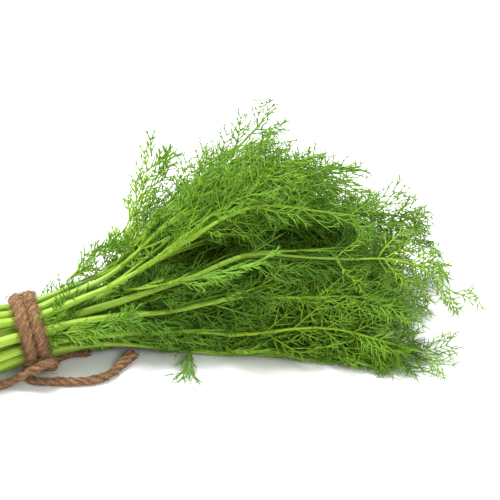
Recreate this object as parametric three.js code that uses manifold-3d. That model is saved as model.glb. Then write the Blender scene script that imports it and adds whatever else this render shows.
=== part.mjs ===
// A tied bunch of cut dill, lying on a surface.
// Units are millimetres and +Z is up. x runs along the bunch: the tie is at x = 0,
// the cut ends lie at -x and the tips of the fronds at +x. y runs across the bunch.
import * as THREE from 'three';
import Module from 'manifold-3d';
import { mergeVertices } from 'three/addons/utils/BufferGeometryUtils.js';

// Driving dimensions.
const TIE_CORE = 12.6;          // radius of the stalks inside the twine
const TWINE_ACROSS = 4.8;       // a loop's strand, pulled flat: its width
const TWINE_THROUGH = 3.4;      // and its thickness
const TAIL_THICK = 3.6;         // a free end of the twine
const GAP = 0.3;                // clearance between pieces that touch
const CUT_END = -58;            // where most stalks were cut
const CUT_SPREAD = 1.38;        // how far the stalks part again towards the cut ends
const CUT_LEVEL = -44;          // past this the lowest stalks lie level on the surface
const CUT_PITCH = 5.7;          // height between the rows of stalks at the cut ends
const CUT_UNEVEN = 5;           // the stalks were cut to within this much of CUT_END
const CUT_JITTER = 1.1;         // and lie this much out of their rows there
const LENGTH_MIX = [5, 2];      // how a stalk's places across and in its row mix in the first
const LIE_MIX = [7, 3];         // and in the second, so that no two neighbours are alike
const ROW_PITCH = 4.7;          // height between the rows of stalks in the tie
const MIDDLE_ROW = 2;
const BITE = 0.46;              // beside the tie the upper stalks swell out by this share,
const BITE_BEGINS = 5;          // between here and
const BITE_ENDS = 15;           // here on either side of it
const FAN_LENGTH = 165;         // where the fan is widest
const FAN_WIDTH = 68;           // how much the fan's half width gains over that length
const FAN_FLARE = 1.35;         // above 1 the fan opens late
const FAN_BEGINS = 4;           // from here the stalks part towards their own layers of the fan
const FAN_BEND = 82;            // and by here they have reached them
const MOUND_HEIGHT = 70;        // top of the mound of fronds
const MOUND_RISES_TO = 100;     // the mound rises from the tie to here
const MOUND_FALLS_FROM = 100;   // and from here
const MOUND_FALLS_TO = 190;     // to here
const MOUND_FALL = 28;          // it comes down by this much
const MOUND_DOME = 0.42;        // share of its height that the mound loses at its edges
const TOP_LAYER = 4;
const FROND_THICK = 1.7;
const RIB_ROOT = 1.1;           // a frond's thickness where it begins, in FROND_THICK
const RIB_TIP = 0.5;            // and at its tip
const STRAND_SIDES = 8;         // of a stalk's or strand's section
const STALK_STEP = 12;
const STALK_BUTT = 1.08;        // a stalk's thickness at its cut end, in that at the tie
const STALK_TAPER = 0.5;        // and where its frond begins
const NODE_BULGE = 0.22;        // how much a swollen node adds, in the same measure
const NODE_LENGTH = 5;          // half the length of the swelling
const HALF_SHARES = [0.185, 0.18, 0.16, 0.19, 0.2]; // a frond's half width per layer, of the fan's
const RIB_HALF = 0.8;           // half width of a frond where it has no lobe
const LOBES = 14;               // pairs of lobes along a frond
const LEAF_LOBES = 8;           // and along a small side leaf
const NOTCH = 0.16;             // share of the width left between two lobes
const PLUME = 0.75;             // below 1 a frond is widest before its middle and blunter
const LOBE_SWEEP = 0.7;         // how far lobes point forward, in half widths
const FROND_SAG = 0.14;         // how far a frond's edges hang below its midrib, in half widths
const WAVE_HEIGHT = 1.8;        // a frond above the surface waves up and down by this much
const WAVE_LENGTH = 52;
const WAVE_SHIFT = 40;          // turns the waves of neighbours out of step, in radians a side
const TIP_BEGINS = 0.55;        // share of a frond's length where its tip begins to lift or sway
const LEAF_FORWARD = 0.35;      // a side leaf's line leans on a point this far along its stalk,
const LEAF_OUTWARD = 0.2;       // and this far out from it, in the leaf's lengths
const SAME_POINT = 1e-5;        // corners closer than this are one
const NEARBY = 0.5;             // a line's direction is taken over this much to either side

const LOOP_PITCH = TWINE_ACROSS + GAP;
const LOOP_LEAN = -0.09;        // the loops lean towards the cut ends at the top
const LOOP_YAW = 0.07;          // and away from them at the far side
const LOOP_FROM = -38;          // degrees round the tie, from the near side upwards:
const LOOP_TO = 281;            // the loops' ends are tucked under the knot
const LOOP_STEPS = 44;

const TIE_OUTER = TIE_CORE + GAP + TWINE_THROUGH;
const TIE_HEIGHT = TIE_OUTER;
const TAIL_LIFT = 0.05;         // a tail's corners clear the surface by this much
const TAIL_HIGH = TAIL_THICK / 2 + TAIL_LIFT; // height of its middle where it lies there

// The knot: one strand comes out from under the stalks, turns up over both loops and leaves
// to the left, and another ends short under the stalks.
const KNOT_STRAND = [
  [3.4, -5.6, 2.2], [5.4, -10.6, 4.0], [7.2, -15.2, 7.6], [5.8, -18.2, 11.8],
  [1.8, -19.2, 12.6], [-2.4, -18.6, 10.8], [-5.8, -17.0, 8.6],
];
const KNOT_STUB = [
  [4.4, -7.8, 3.0], [7.8, -5.8, 2.2], [11.6, -3.6, 1.8], [16.4, -2.9, 1.8], [22.6, -4.2, 1.8],
];

// Routes of the free ends, from where they leave the knot and the left loop.
const TAIL_LEFT = [
  [-6.1, -16.8, 8.4], [-9.4, -15.0, 5.4], [-13.2, -13.6, 2.9], [-17.6, -13.0, TAIL_HIGH],
  [-22.4, -13.4, TAIL_HIGH], [-27.4, -14.8, TAIL_HIGH], [-32.2, -16.8, TAIL_HIGH],
  [-37.2, -18.2, TAIL_HIGH], [-42.4, -18.4, TAIL_HIGH], [-47.4, -17.4, TAIL_HIGH],
];
const TAIL_FRONT = [
  [-3.4, -5.2, 2.0], [-4.7, -8.4, TAIL_HIGH], [-5.0, -11.4, TAIL_HIGH], [-3.9, -14.2, TAIL_HIGH],
  [-1.4, -16.2, TAIL_HIGH], [2.2, -17.9, TAIL_HIGH], [6.4, -19.6, TAIL_HIGH],
  [10.4, -21.2, TAIL_HIGH], [14.4, -22.6, TAIL_HIGH], [18.4, -23.6, TAIL_HIGH],
  [22.4, -23.8, TAIL_HIGH], [26.4, -22.8, TAIL_HIGH], [30.0, -20.7, TAIL_HIGH],
  [33.4, -18.1, TAIL_HIGH], [36.8, -15.4, TAIL_HIGH], [40.2, -12.8, TAIL_HIGH],
];
const TAIL_STEP = 2 * TAIL_THICK;
const KNOT_STEP = 2.4;

// Each sprig: where its stalk passes the tie (row from the lowest, sideways from the middle),
// how thick it is there, the layer and side that its frond takes in the fan (0 lies on the
// surface, 4 on top; -1 is the near edge, 1 the far one), and where the frond begins and ends.
// Some carry a swollen node, or end in a tip that lifts or droops, and sways.
const SPRIGS = [
  { name: 'low_1', row: 1, across: -9.3, thick: 4.1, layer: 0, side: -0.73, from: 62, to: 160, sway: -17 },
  { name: 'low_2', row: 0, across: -4.9, thick: 4.3, layer: 0, side: -0.33, from: 56, to: 166, sway: -9 },
  { name: 'low_3', row: 0, across: 0, thick: 3.6, layer: 0, side: 0.08, from: 58, to: 160 },
  { name: 'low_4', row: 0, across: 4.9, thick: 3.7, layer: 0, side: 0.46, from: 56, to: 150 },
  { name: 'low_5', row: 1, across: 9.3, thick: 3.4, layer: 0, side: 0.86, from: 60, to: 132 },
  {
    name: 'flank_1', row: 2, across: -10.3, thick: 3.8, layer: 1, side: -0.78, from: 60, to: 166,
    sway: -9, lift: -7,
  },
  { name: 'flank_2', row: 1, across: -4.7, thick: 4.0, layer: 1, side: -0.38, from: 54, to: 178 },
  { name: 'flank_3', row: 1, across: 0, thick: 3.3, layer: 1, side: 0.02, from: 62, to: 168 },
  { name: 'flank_4', row: 1, across: 4.7, thick: 3.9, layer: 1, side: 0.4, from: 56, to: 158 },
  { name: 'flank_5', row: 2, across: 10.3, thick: 3.6, layer: 1, side: 0.76, from: 58, to: 134 },
  { name: 'heart_1', row: 3, across: -9.3, thick: 4.0, node: 42, layer: 2, side: -0.68, from: 58, to: 158 },
  { name: 'heart_2', row: 2, across: -5.1, thick: 3.8, layer: 2, side: -0.34, from: 56, to: 156 },
  { name: 'heart_3', row: 2, across: 0, thick: 3.5, layer: 2, side: 0, from: 60, to: 186 },
  { name: 'heart_4', row: 2, across: 5.1, thick: 3.9, layer: 2, side: 0.34, from: 54, to: 166 },
  { name: 'heart_5', row: 3, across: 9.3, thick: 3.3, layer: 2, side: 0.68, from: 46, to: 118, lift: 14 },
  {
    name: 'crest_1', row: 3, across: -4.7, thick: 3.9, node: 84, layer: 3, side: -0.55, from: 92, to: 183,
    sway: -6, lift: -12,
  },
  { name: 'crest_2', row: 3, across: 0, thick: 3.7, layer: 3, side: 0.02, from: 58, to: 182 },
  { name: 'crest_3', row: 3, across: 4.7, thick: 3.8, layer: 3, side: 0.42, from: 54, to: 150 },
  { name: 'crown_1', row: 4, across: -4.9, thick: 3.7, layer: 4, side: -0.4, from: 58, to: 146 },
  { name: 'crown_2', row: 4, across: 0, thick: 3.9, layer: 4, side: 0.03, from: 62, to: 156 },
  { name: 'crown_3', row: 4, across: 4.9, thick: 3.4, layer: 4, side: 0.48, from: 48, to: 124, lift: 21 },
];

// Small leaves on the outside of the bunch: the sprig whose stalk carries each, where along the
// stalk, its tip, and its half width.
const SIDE_LEAVES = [
  { name: 'pale', on: 'crown_3', at: 37, tip: [76, 37, 73], half: 8 },
  { name: 'tuft', on: 'low_1', at: 54, tip: [60, -41, 1.7], half: 4.5 },
  { name: 'by_tie', on: 'heart_1', at: 9, tip: [36, -22, 27], half: 4 },
  { name: 'on_top', on: 'crown_3', at: 19, tip: [41, 12, 43], half: 3 },
  { name: 'far_low', on: 'low_5', at: 44, tip: [74, 38, 3.5], half: 6 },
  { name: 'near_crown', on: 'crown_1', at: 40, tip: [92, -38, 52], half: 7 },
  { name: 'far_crown', on: 'crest_3', at: 42, tip: [94, 45, 54], half: 7 },
];

const MATERIALS = {
  stalk: new THREE.MeshStandardMaterial({ color: 0x9dc23c, roughness: 0.45, metalness: 0 }),
  frond: new THREE.MeshStandardMaterial({ color: 0x4c8a22, roughness: 0.6, metalness: 0 }),
  twine: new THREE.MeshStandardMaterial({ color: 0x8f6344, roughness: 0.95, metalness: 0 }),
};

const { smoothstep, lerp } = THREE.MathUtils;

/** Half width of the fan at x. */
function fanHalfWidth(x) {
  return TIE_CORE + FAN_WIDTH * (Math.max(x, 0) / FAN_LENGTH) ** FAN_FLARE;
}

/** Height of the top of the mound at x, over its middle line. */
function moundTop(x) {
  const rise = lerp(2 * TIE_OUTER, MOUND_HEIGHT, smoothstep(x, 0, MOUND_RISES_TO));
  return rise - MOUND_FALL * smoothstep(x, MOUND_FALLS_FROM, MOUND_FALLS_TO);
}

/** Where a sprig's middle line passes at x when its place in the fan is alone considered. */
function fanPoint(sprig, x) {
  const floor = sprig.layer === 0 ? stalkRadius(sprig, x) : FROND_THICK;
  const share = sprig.layer / TOP_LAYER * (1 - MOUND_DOME * sprig.side ** 2);
  return new THREE.Vector3(x, sprig.side * fanHalfWidth(x), lerp(floor, moundTop(x), share));
}

/** Radius of a stalk at x: it tapers from the cut end to its frond, with a swelling at its node. */
function stalkRadius(sprig, x) {
  const taper = x < 0
    ? lerp(1, STALK_BUTT, x / CUT_END)
    : lerp(1, STALK_TAPER, smoothstep(x, 0, sprig.from));
  const bulge = sprig.node ? NODE_BULGE * Math.exp(-(((x - sprig.node) / NODE_LENGTH) ** 2)) : 0;
  return sprig.thick / 2 * (taper + bulge);
}

/** A number from -1 to 1 of the sprig's own. */
function unlike(sprig, [acrossMix, rowMix]) {
  return Math.sin(acrossMix * sprig.across + rowMix * sprig.row);
}

/** A stalk's middle line at x on the side of the cut ends, where the stalks part again. */
function buttPoint(sprig, x) {
  const parted = smoothstep(-x, 0, -CUT_LEVEL);
  const uneven = CUT_JITTER * unlike(sprig, LIE_MIX);
  const low = stalkRadius(sprig, x) * Math.cos(Math.PI / STRAND_SIDES);
  const climb = sprig.row === 0 ? 0 : sprig.row * CUT_PITCH - uneven;
  const point = tiePoint(sprig, x);
  point.y = lerp(point.y, point.y * CUT_SPREAD + uneven, parted);
  point.z = lerp(point.z, low + climb, parted);
  return point;
}

/** Where a sprig's middle line passes at x when its place in the tie is alone considered. */
function tiePoint(sprig, x) {
  const rise = (sprig.row - MIDDLE_ROW) * ROW_PITCH;
  const swell = BITE * smoothstep(Math.abs(x), BITE_BEGINS, BITE_ENDS);
  return new THREE.Vector3(x, sprig.across, TIE_HEIGHT + rise + swell * Math.max(rise, 0));
}

/** A point of a sprig's middle line at x, from its cut end to the tip of its frond. */
function sprigPoint(sprig, x) {
  if (x < 0) {
    return buttPoint(sprig, x);
  }
  const settled = smoothstep(x, FAN_BEGINS, FAN_BEND);
  const point = tiePoint(sprig, x).lerp(fanPoint(sprig, x), settled);
  const turn = 2 * Math.PI * x / WAVE_LENGTH + WAVE_SHIFT * sprig.side;
  const wave = sprig.layer === 0 ? 0 : WAVE_HEIGHT * Math.sin(turn) * settled;
  const tip = smoothstep(x, lerp(sprig.from, sprig.to, TIP_BEGINS), sprig.to);
  point.y += (sprig.sway ?? 0) * tip;
  point.z += (sprig.lift ?? 0) * tip + wave;
  return point;
}

/** A place on a line, with a level sideways and an upward direction square to the line. */
function frame(middle, along) {
  const across = new THREE.Vector3(0, 0, 1).cross(along).normalize();
  return { middle, along, across, up: along.clone().cross(across) };
}

/** The frame of a sprig's middle line at x. */
function sprigFrame(sprig, x) {
  const along = sprigPoint(sprig, x + NEARBY).sub(sprigPoint(sprig, x - NEARBY)).normalize();
  return frame(sprigPoint(sprig, x), along);
}

/** A straight prism of unit length along z, ready to be bent. */
function prism(corners, steps) {
  const shape = new THREE.Shape(corners.map(([x, y]) => new THREE.Vector2(x, y)));
  const prismGeometry = new THREE.ExtrudeGeometry(shape, { depth: 1, steps, bevelEnabled: false });
  prismGeometry.deleteAttribute('normal');
  prismGeometry.deleteAttribute('uv');
  return mergeVertices(prismGeometry, SAME_POINT);
}

/** Moves each corner of a prism: place(x, y, t) gives its new place from its share t of the length. */
function bend(prismGeometry, place) {
  const position = prismGeometry.getAttribute('position');
  for (let i = 0; i < position.count; i += 1) {
    const moved = place(position.getX(i), position.getY(i), position.getZ(i));
    position.setXYZ(i, moved.x, moved.y, moved.z);
  }
  return prismGeometry;
}

/** Corners of a regular polygon with a flat side down, within a circle of radius 1. */
function ring(sides) {
  const turn = 2 * Math.PI / sides;
  return Array.from({ length: sides }, (_, i) => {
    const angle = (i + 0.5) * turn - Math.PI / 2;
    return [Math.cos(angle), Math.sin(angle)];
  });
}

/** A mesh of the bunch under its own name. */
function namedMesh(geometry, name, material) {
  geometry.computeVertexNormals();
  const mesh = new THREE.Mesh(geometry, material);
  mesh.name = name;
  return mesh;
}

/** A stalk from its cut end to just short of its frond. */
function stalk(sprig) {
  const cut = CUT_END + CUT_UNEVEN * unlike(sprig, LENGTH_MIX);
  const end = sprig.from - GAP;
  const steps = Math.round((end - cut) / STALK_STEP);
  const stations = Array.from({ length: steps + 1 }, (_, i) => lerp(cut, end, i / steps));
  if (sprig.node) {
    const nearest = Math.round((sprig.node - cut) / (end - cut) * steps);
    stations[nearest] = sprig.node;
  }
  const tube = bend(prism(ring(STRAND_SIDES), steps), (x, y, t) => {
    const station = stations[Math.round(t * steps)];
    const { middle, across, up } = sprigFrame(sprig, station);
    const radius = stalkRadius(sprig, station);
    return middle.addScaledVector(across, x * radius).addScaledVector(up, y * radius);
  });
  return namedMesh(tube, `stalk_${sprig.name}`, MATERIALS.stalk);
}

/** Share of the half width at a share t of a frond's length: a plume, widest before its middle. */
function plume(t) {
  return Math.sin(Math.PI * t ** PLUME) ** PLUME;
}

/**
 * A thin blade with forward lobes. frameOf(t) gives its midrib's frame and halfOf(t) its full half
 * width, at a share t of its length. A flat one has a level underside.
 */
function blade(frameOf, halfOf, lobes, flat) {
  const steps = 2 * lobes + 1;
  const section = flat ? [[-1, 0], [1, 0], [0, 2]] : [[-1, 0], [0, -1], [1, 0], [0, 1]];
  return bend(prism(section, steps), (x, y, t) => {
    const row = Math.round(t * steps);
    const isEnd = row === 0 || row === steps;
    const { middle, along, across, up } = frameOf(t);
    const lobe = isEnd ? 0 : halfOf(t) * (row % 2 === 0 ? 1 : NOTCH);
    const rib = FROND_THICK / 2 * lerp(RIB_ROOT, RIB_TIP, t);
    const sag = flat ? 0 : FROND_SAG * lobe;
    middle.addScaledVector(across, x * (RIB_HALF + lobe));
    middle.addScaledVector(along, Math.abs(x) * LOBE_SWEEP * lobe);
    return middle.addScaledVector(up, y * rib - Math.abs(x) * sag);
  });
}

/** A sprig's frond. One in the lowest layer lies flat on the surface. */
function frond(sprig) {
  const onSurface = sprig.layer === 0;
  const frameOf = (t) => {
    const found = sprigFrame(sprig, lerp(sprig.from, sprig.to, t));
    return onSurface ? frame(found.middle.setZ(0), found.along.setZ(0).normalize()) : found;
  };
  const halfOf = (t) => (
    HALF_SHARES[sprig.layer] * fanHalfWidth(lerp(sprig.from, sprig.to, t)) * plume(t)
  );
  return namedMesh(blade(frameOf, halfOf, LOBES, onSurface), `frond_${sprig.name}`, MATERIALS.frond);
}

/** A small leaf that leaves a stalk forwards and bends out to its tip. */
function sideLeaf(leaf) {
  const sprig = SPRIGS.find(({ name }) => name === leaf.on);
  const tip = new THREE.Vector3(...leaf.tip);
  const carried = sprigFrame(sprig, leaf.at);
  const outwards = tip.clone().sub(carried.middle).projectOnPlane(carried.along).normalize();
  const clear = stalkRadius(sprig, leaf.at) + GAP + FROND_THICK / 2;
  const start = carried.middle.clone().addScaledVector(outwards, clear);
  const reach = start.distanceTo(tip);
  const turn = start.clone().addScaledVector(carried.along, LEAF_FORWARD * reach);
  turn.addScaledVector(outwards, LEAF_OUTWARD * reach);
  const line = new THREE.QuadraticBezierCurve3(start, turn, tip);
  const frameOf = (t) => frame(line.getPoint(t), line.getTangent(t));
  const halfOf = (t) => leaf.half * plume(t);
  return namedMesh(blade(frameOf, halfOf, LEAF_LOBES, false), `leaf_${leaf.name}`, MATERIALS.frond);
}

/** One loop of the twine, pulled flat round the stalks; offset is its place along the bunch. */
function loop(offset, name) {
  const strand = bend(prism(ring(STRAND_SIDES), LOOP_STEPS), (x, y, t) => {
    const angle = THREE.MathUtils.degToRad(lerp(LOOP_FROM, LOOP_TO, t));
    const radius = TIE_OUTER - TWINE_THROUGH / 2 + y * TWINE_THROUGH / 2;
    const sideways = -radius * Math.cos(angle);
    const high = radius * Math.sin(angle);
    const along = offset - x * TWINE_ACROSS / 2 + LOOP_YAW * sideways + LOOP_LEAN * high;
    return new THREE.Vector3(along, sideways, TIE_HEIGHT + high);
  });
  return namedMesh(strand, name, MATERIALS.twine);
}

/** A round strand of twine through the points of a route, with a step about every so far. */
function strandGeometry(route, step) {
  const curve = new THREE.CatmullRomCurve3(route.map((point) => new THREE.Vector3(...point)));
  const section = new THREE.Shape(ring(STRAND_SIDES).map(([x, y]) => (
    new THREE.Vector2(x * TAIL_THICK / 2, y * TAIL_THICK / 2)
  )));
  const steps = Math.round(curve.getLength() / step);
  const strand = new THREE.ExtrudeGeometry(section, { steps, extrudePath: curve });
  strand.deleteAttribute('normal');
  strand.deleteAttribute('uv');
  return mergeVertices(strand, SAME_POINT);
}

/** The knot: its two strands joined in one solid. */
async function knotGeometry() {
  const wasm = await Module();
  wasm.setup();
  const solids = [KNOT_STRAND, KNOT_STUB].map((route) => {
    const strand = strandGeometry(route, KNOT_STEP);
    const vertProperties = new Float32Array(strand.getAttribute('position').array);
    const triVerts = new Uint32Array(strand.index.array);
    return new wasm.Manifold(new wasm.Mesh({ numProp: 3, vertProperties, triVerts }));
  });
  const joined = solids[0].add(solids[1]).getMesh();
  const geometry = new THREE.BufferGeometry();
  geometry.setAttribute('position', new THREE.BufferAttribute(joined.vertProperties, 3));
  geometry.setIndex(new THREE.BufferAttribute(joined.triVerts, 1));
  return geometry;
}

const bunch = new THREE.Group();
bunch.name = 'dill_bunch';
for (const sprig of SPRIGS) {
  bunch.add(stalk(sprig));
  bunch.add(frond(sprig));
}
for (const leaf of SIDE_LEAVES) {
  bunch.add(sideLeaf(leaf));
}
bunch.add(loop(-LOOP_PITCH / 2, 'twine_loop_left'));
bunch.add(loop(LOOP_PITCH / 2, 'twine_loop_right'));
bunch.add(namedMesh(await knotGeometry(), 'twine_knot', MATERIALS.twine));

// The origin is the middle of the bunch's footprint, without the twine's free ends.
const footprint = new THREE.Box3().setFromObject(bunch);
const middle = footprint.getCenter(new THREE.Vector3());
bunch.position.set(-middle.x, -middle.y, -footprint.min.z);

bunch.add(namedMesh(strandGeometry(TAIL_LEFT, TAIL_STEP), 'twine_tail_left', MATERIALS.twine));
bunch.add(namedMesh(strandGeometry(TAIL_FRONT, TAIL_STEP), 'twine_tail_front', MATERIALS.twine));

export default bunch;
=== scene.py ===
"""A tied bunch of cut dill, dressed around its CAD frame.

Every length is in metres, in the frame's own axes: x runs along the bunch from the cut ends to
the tips, y across it to the side away from the knot, and z up.
"""
import logging
import math
from dataclasses import dataclass, field, replace
from enum import Enum
from functools import partial

import bpy
import numpy as np
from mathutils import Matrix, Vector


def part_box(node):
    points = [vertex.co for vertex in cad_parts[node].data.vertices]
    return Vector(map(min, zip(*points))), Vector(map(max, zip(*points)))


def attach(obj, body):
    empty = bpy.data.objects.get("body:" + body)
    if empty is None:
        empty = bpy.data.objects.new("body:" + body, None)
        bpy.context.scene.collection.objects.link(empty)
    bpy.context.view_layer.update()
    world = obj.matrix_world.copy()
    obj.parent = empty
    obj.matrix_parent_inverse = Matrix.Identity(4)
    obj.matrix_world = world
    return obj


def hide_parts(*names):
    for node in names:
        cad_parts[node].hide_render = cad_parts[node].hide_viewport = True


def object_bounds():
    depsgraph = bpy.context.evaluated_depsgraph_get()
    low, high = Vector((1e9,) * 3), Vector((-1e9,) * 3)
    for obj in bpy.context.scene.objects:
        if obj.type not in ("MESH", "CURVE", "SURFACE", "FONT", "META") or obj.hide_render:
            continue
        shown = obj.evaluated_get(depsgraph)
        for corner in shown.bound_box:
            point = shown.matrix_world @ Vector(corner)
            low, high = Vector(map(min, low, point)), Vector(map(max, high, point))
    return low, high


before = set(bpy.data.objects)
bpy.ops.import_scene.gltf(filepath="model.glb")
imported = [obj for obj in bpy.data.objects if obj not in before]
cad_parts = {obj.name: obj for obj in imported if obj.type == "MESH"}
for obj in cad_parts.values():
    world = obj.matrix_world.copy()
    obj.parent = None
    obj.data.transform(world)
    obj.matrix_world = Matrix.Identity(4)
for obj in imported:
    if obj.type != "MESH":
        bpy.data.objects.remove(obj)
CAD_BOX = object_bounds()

MM = 0.001
UP = np.array([0.0, 0.0, 1.0])
TINY = 1e-12

# The age that marks a stalk's cut face.
CUT_AGE = -1

# The map that the bake goes by.
BAKE_MAP = "OFBake"

log = logging.getLogger("dill_bunch")


class Slot(Enum):
    """The record's material slots."""

    STALK = "stalk"
    FROND = "frond"
    TWINE = "twine"


# ---------------------------------------------------------------- small geometry


def unit(vectors: np.ndarray) -> np.ndarray:
    """Vectors at length 1."""
    return vectors / np.maximum(np.linalg.norm(vectors, axis=-1, keepdims=True), TINY)


def square_to(vectors: np.ndarray, line: np.ndarray) -> np.ndarray:
    """What is left of vectors once their share along line is taken out, at length 1."""
    return unit(vectors - (vectors * line).sum(-1, keepdims=True) * line)


def directions(points: np.ndarray) -> np.ndarray:
    """Directions along polylines.

    Args:
        points: Polylines, with their points on the last axis but one.

    Returns:
        A direction of length 1 at each point.
    """
    return unit(np.gradient(points, axis=-2))


def distances(line: np.ndarray) -> np.ndarray:
    """How far along a line each of its points is."""
    return np.append(0, np.cumsum(np.linalg.norm(np.diff(line, axis=0), axis=1)))


def read_along(places: np.ndarray, far: np.ndarray, values: np.ndarray) -> np.ndarray:
    """Reads what is known at the points of a line at places between them.

    Args:
        places: The places, as distances along the line.
        far: The distances of its points.
        values: What is known at each point, a row a point.

    Returns:
        The row at each place.
    """
    return np.stack([np.interp(places, far, column) for column in values.T], axis=-1)


def turns(count: int) -> np.ndarray:
    """Angles round a full turn at even steps."""
    return 2 * math.pi * np.arange(count) / count


def spokes(turn: np.ndarray, first: np.ndarray, second: np.ndarray) -> np.ndarray:
    """Directions round points of a line.

    Args:
        turn: The angles.
        first: The direction at no angle, at each point.
        second: The direction at a quarter of a turn.

    Returns:
        For each point, a direction at each angle.
    """
    return (np.cos(turn)[:, None] * first[..., None, :]
            + np.sin(turn)[:, None] * second[..., None, :])


def settle(points: np.ndarray, bed: float, least: float) -> np.ndarray:
    """Lays points that would sink below the surface down on it.

    Args:
        points: Points, of any shape with x, y, z last.
        bed: The height below which points are pressed together.
        least: The height that none goes below.

    Returns:
        The points, with none lower than least.
    """
    settled = points.copy()
    high = points[..., 2] - least
    settled[..., 2] = least + np.where(high < bed, bed * np.exp((high - bed) / bed), high)
    return settled


def eased(values: np.ndarray, limit: float, room: float) -> np.ndarray:
    """Holds values below a limit, pressing them together over the last stretch before it.

    Args:
        values: The values.
        limit: What none goes above.
        room: The length of the stretch.

    Returns:
        The values, with none above limit.
    """
    start = limit - room
    over = np.maximum(values - start, 0)
    return np.where(values > start, limit - room * np.exp(-over / room), values)


@dataclass
class Strands:
    """Tapered threads, all with the same number of points.

    Attributes:
        points: Their middle lines, one row of points a thread.
        radii: Their radius at each point; 0 at the last one makes a pointed tip.
        facing: The normal of the plane that each branches in.
        age: From 0 where the stalk begins to 1 at a leaf's last tips, at each point.
        tone: From 0 to 1, how light each thread is.
    """

    points: np.ndarray
    radii: np.ndarray
    facing: np.ndarray
    age: np.ndarray
    tone: np.ndarray

    def chosen(self, which: np.ndarray) -> "Strands":
        """The threads for which a row of truths holds."""
        return Strands(self.points[which], self.radii[which], self.facing[which],
                       self.age[which], self.tone[which])

    def lengths(self) -> np.ndarray:
        """The length of each thread."""
        return np.linalg.norm(np.diff(self.points, axis=1), axis=2).sum(1)

    def at(self, shares: np.ndarray) -> tuple[np.ndarray, np.ndarray, np.ndarray]:
        """Places on the threads.

        Args:
            shares: For each thread, a row of shares of its length.

        Returns:
            The points there, the directions there and the ages there.
        """
        last = self.points.shape[1] - 1
        place = np.clip(shares, 0, 1) * last
        low = np.minimum(place.astype(int), last - 1)
        part = (place - low)[..., None]
        row = np.arange(len(self.points))[:, None]
        along = directions(self.points)
        points = self.points[row, low] * (1 - part) + self.points[row, low + 1] * part
        heading = unit(along[row, low] * (1 - part) + along[row, low + 1] * part)
        age = self.age[row, low] * (1 - part[..., 0]) + self.age[row, low + 1] * part[..., 0]
        return points, heading, age


def placed_object(name: str, data: bpy.types.ID) -> bpy.types.Object:
    """Puts something into the scene.

    Args:
        name: Its name.
        data: Its mesh, camera or lamp.

    Returns:
        The object.
    """
    made = bpy.data.objects.new(name, data)
    bpy.context.scene.collection.objects.link(made)
    return made


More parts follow.
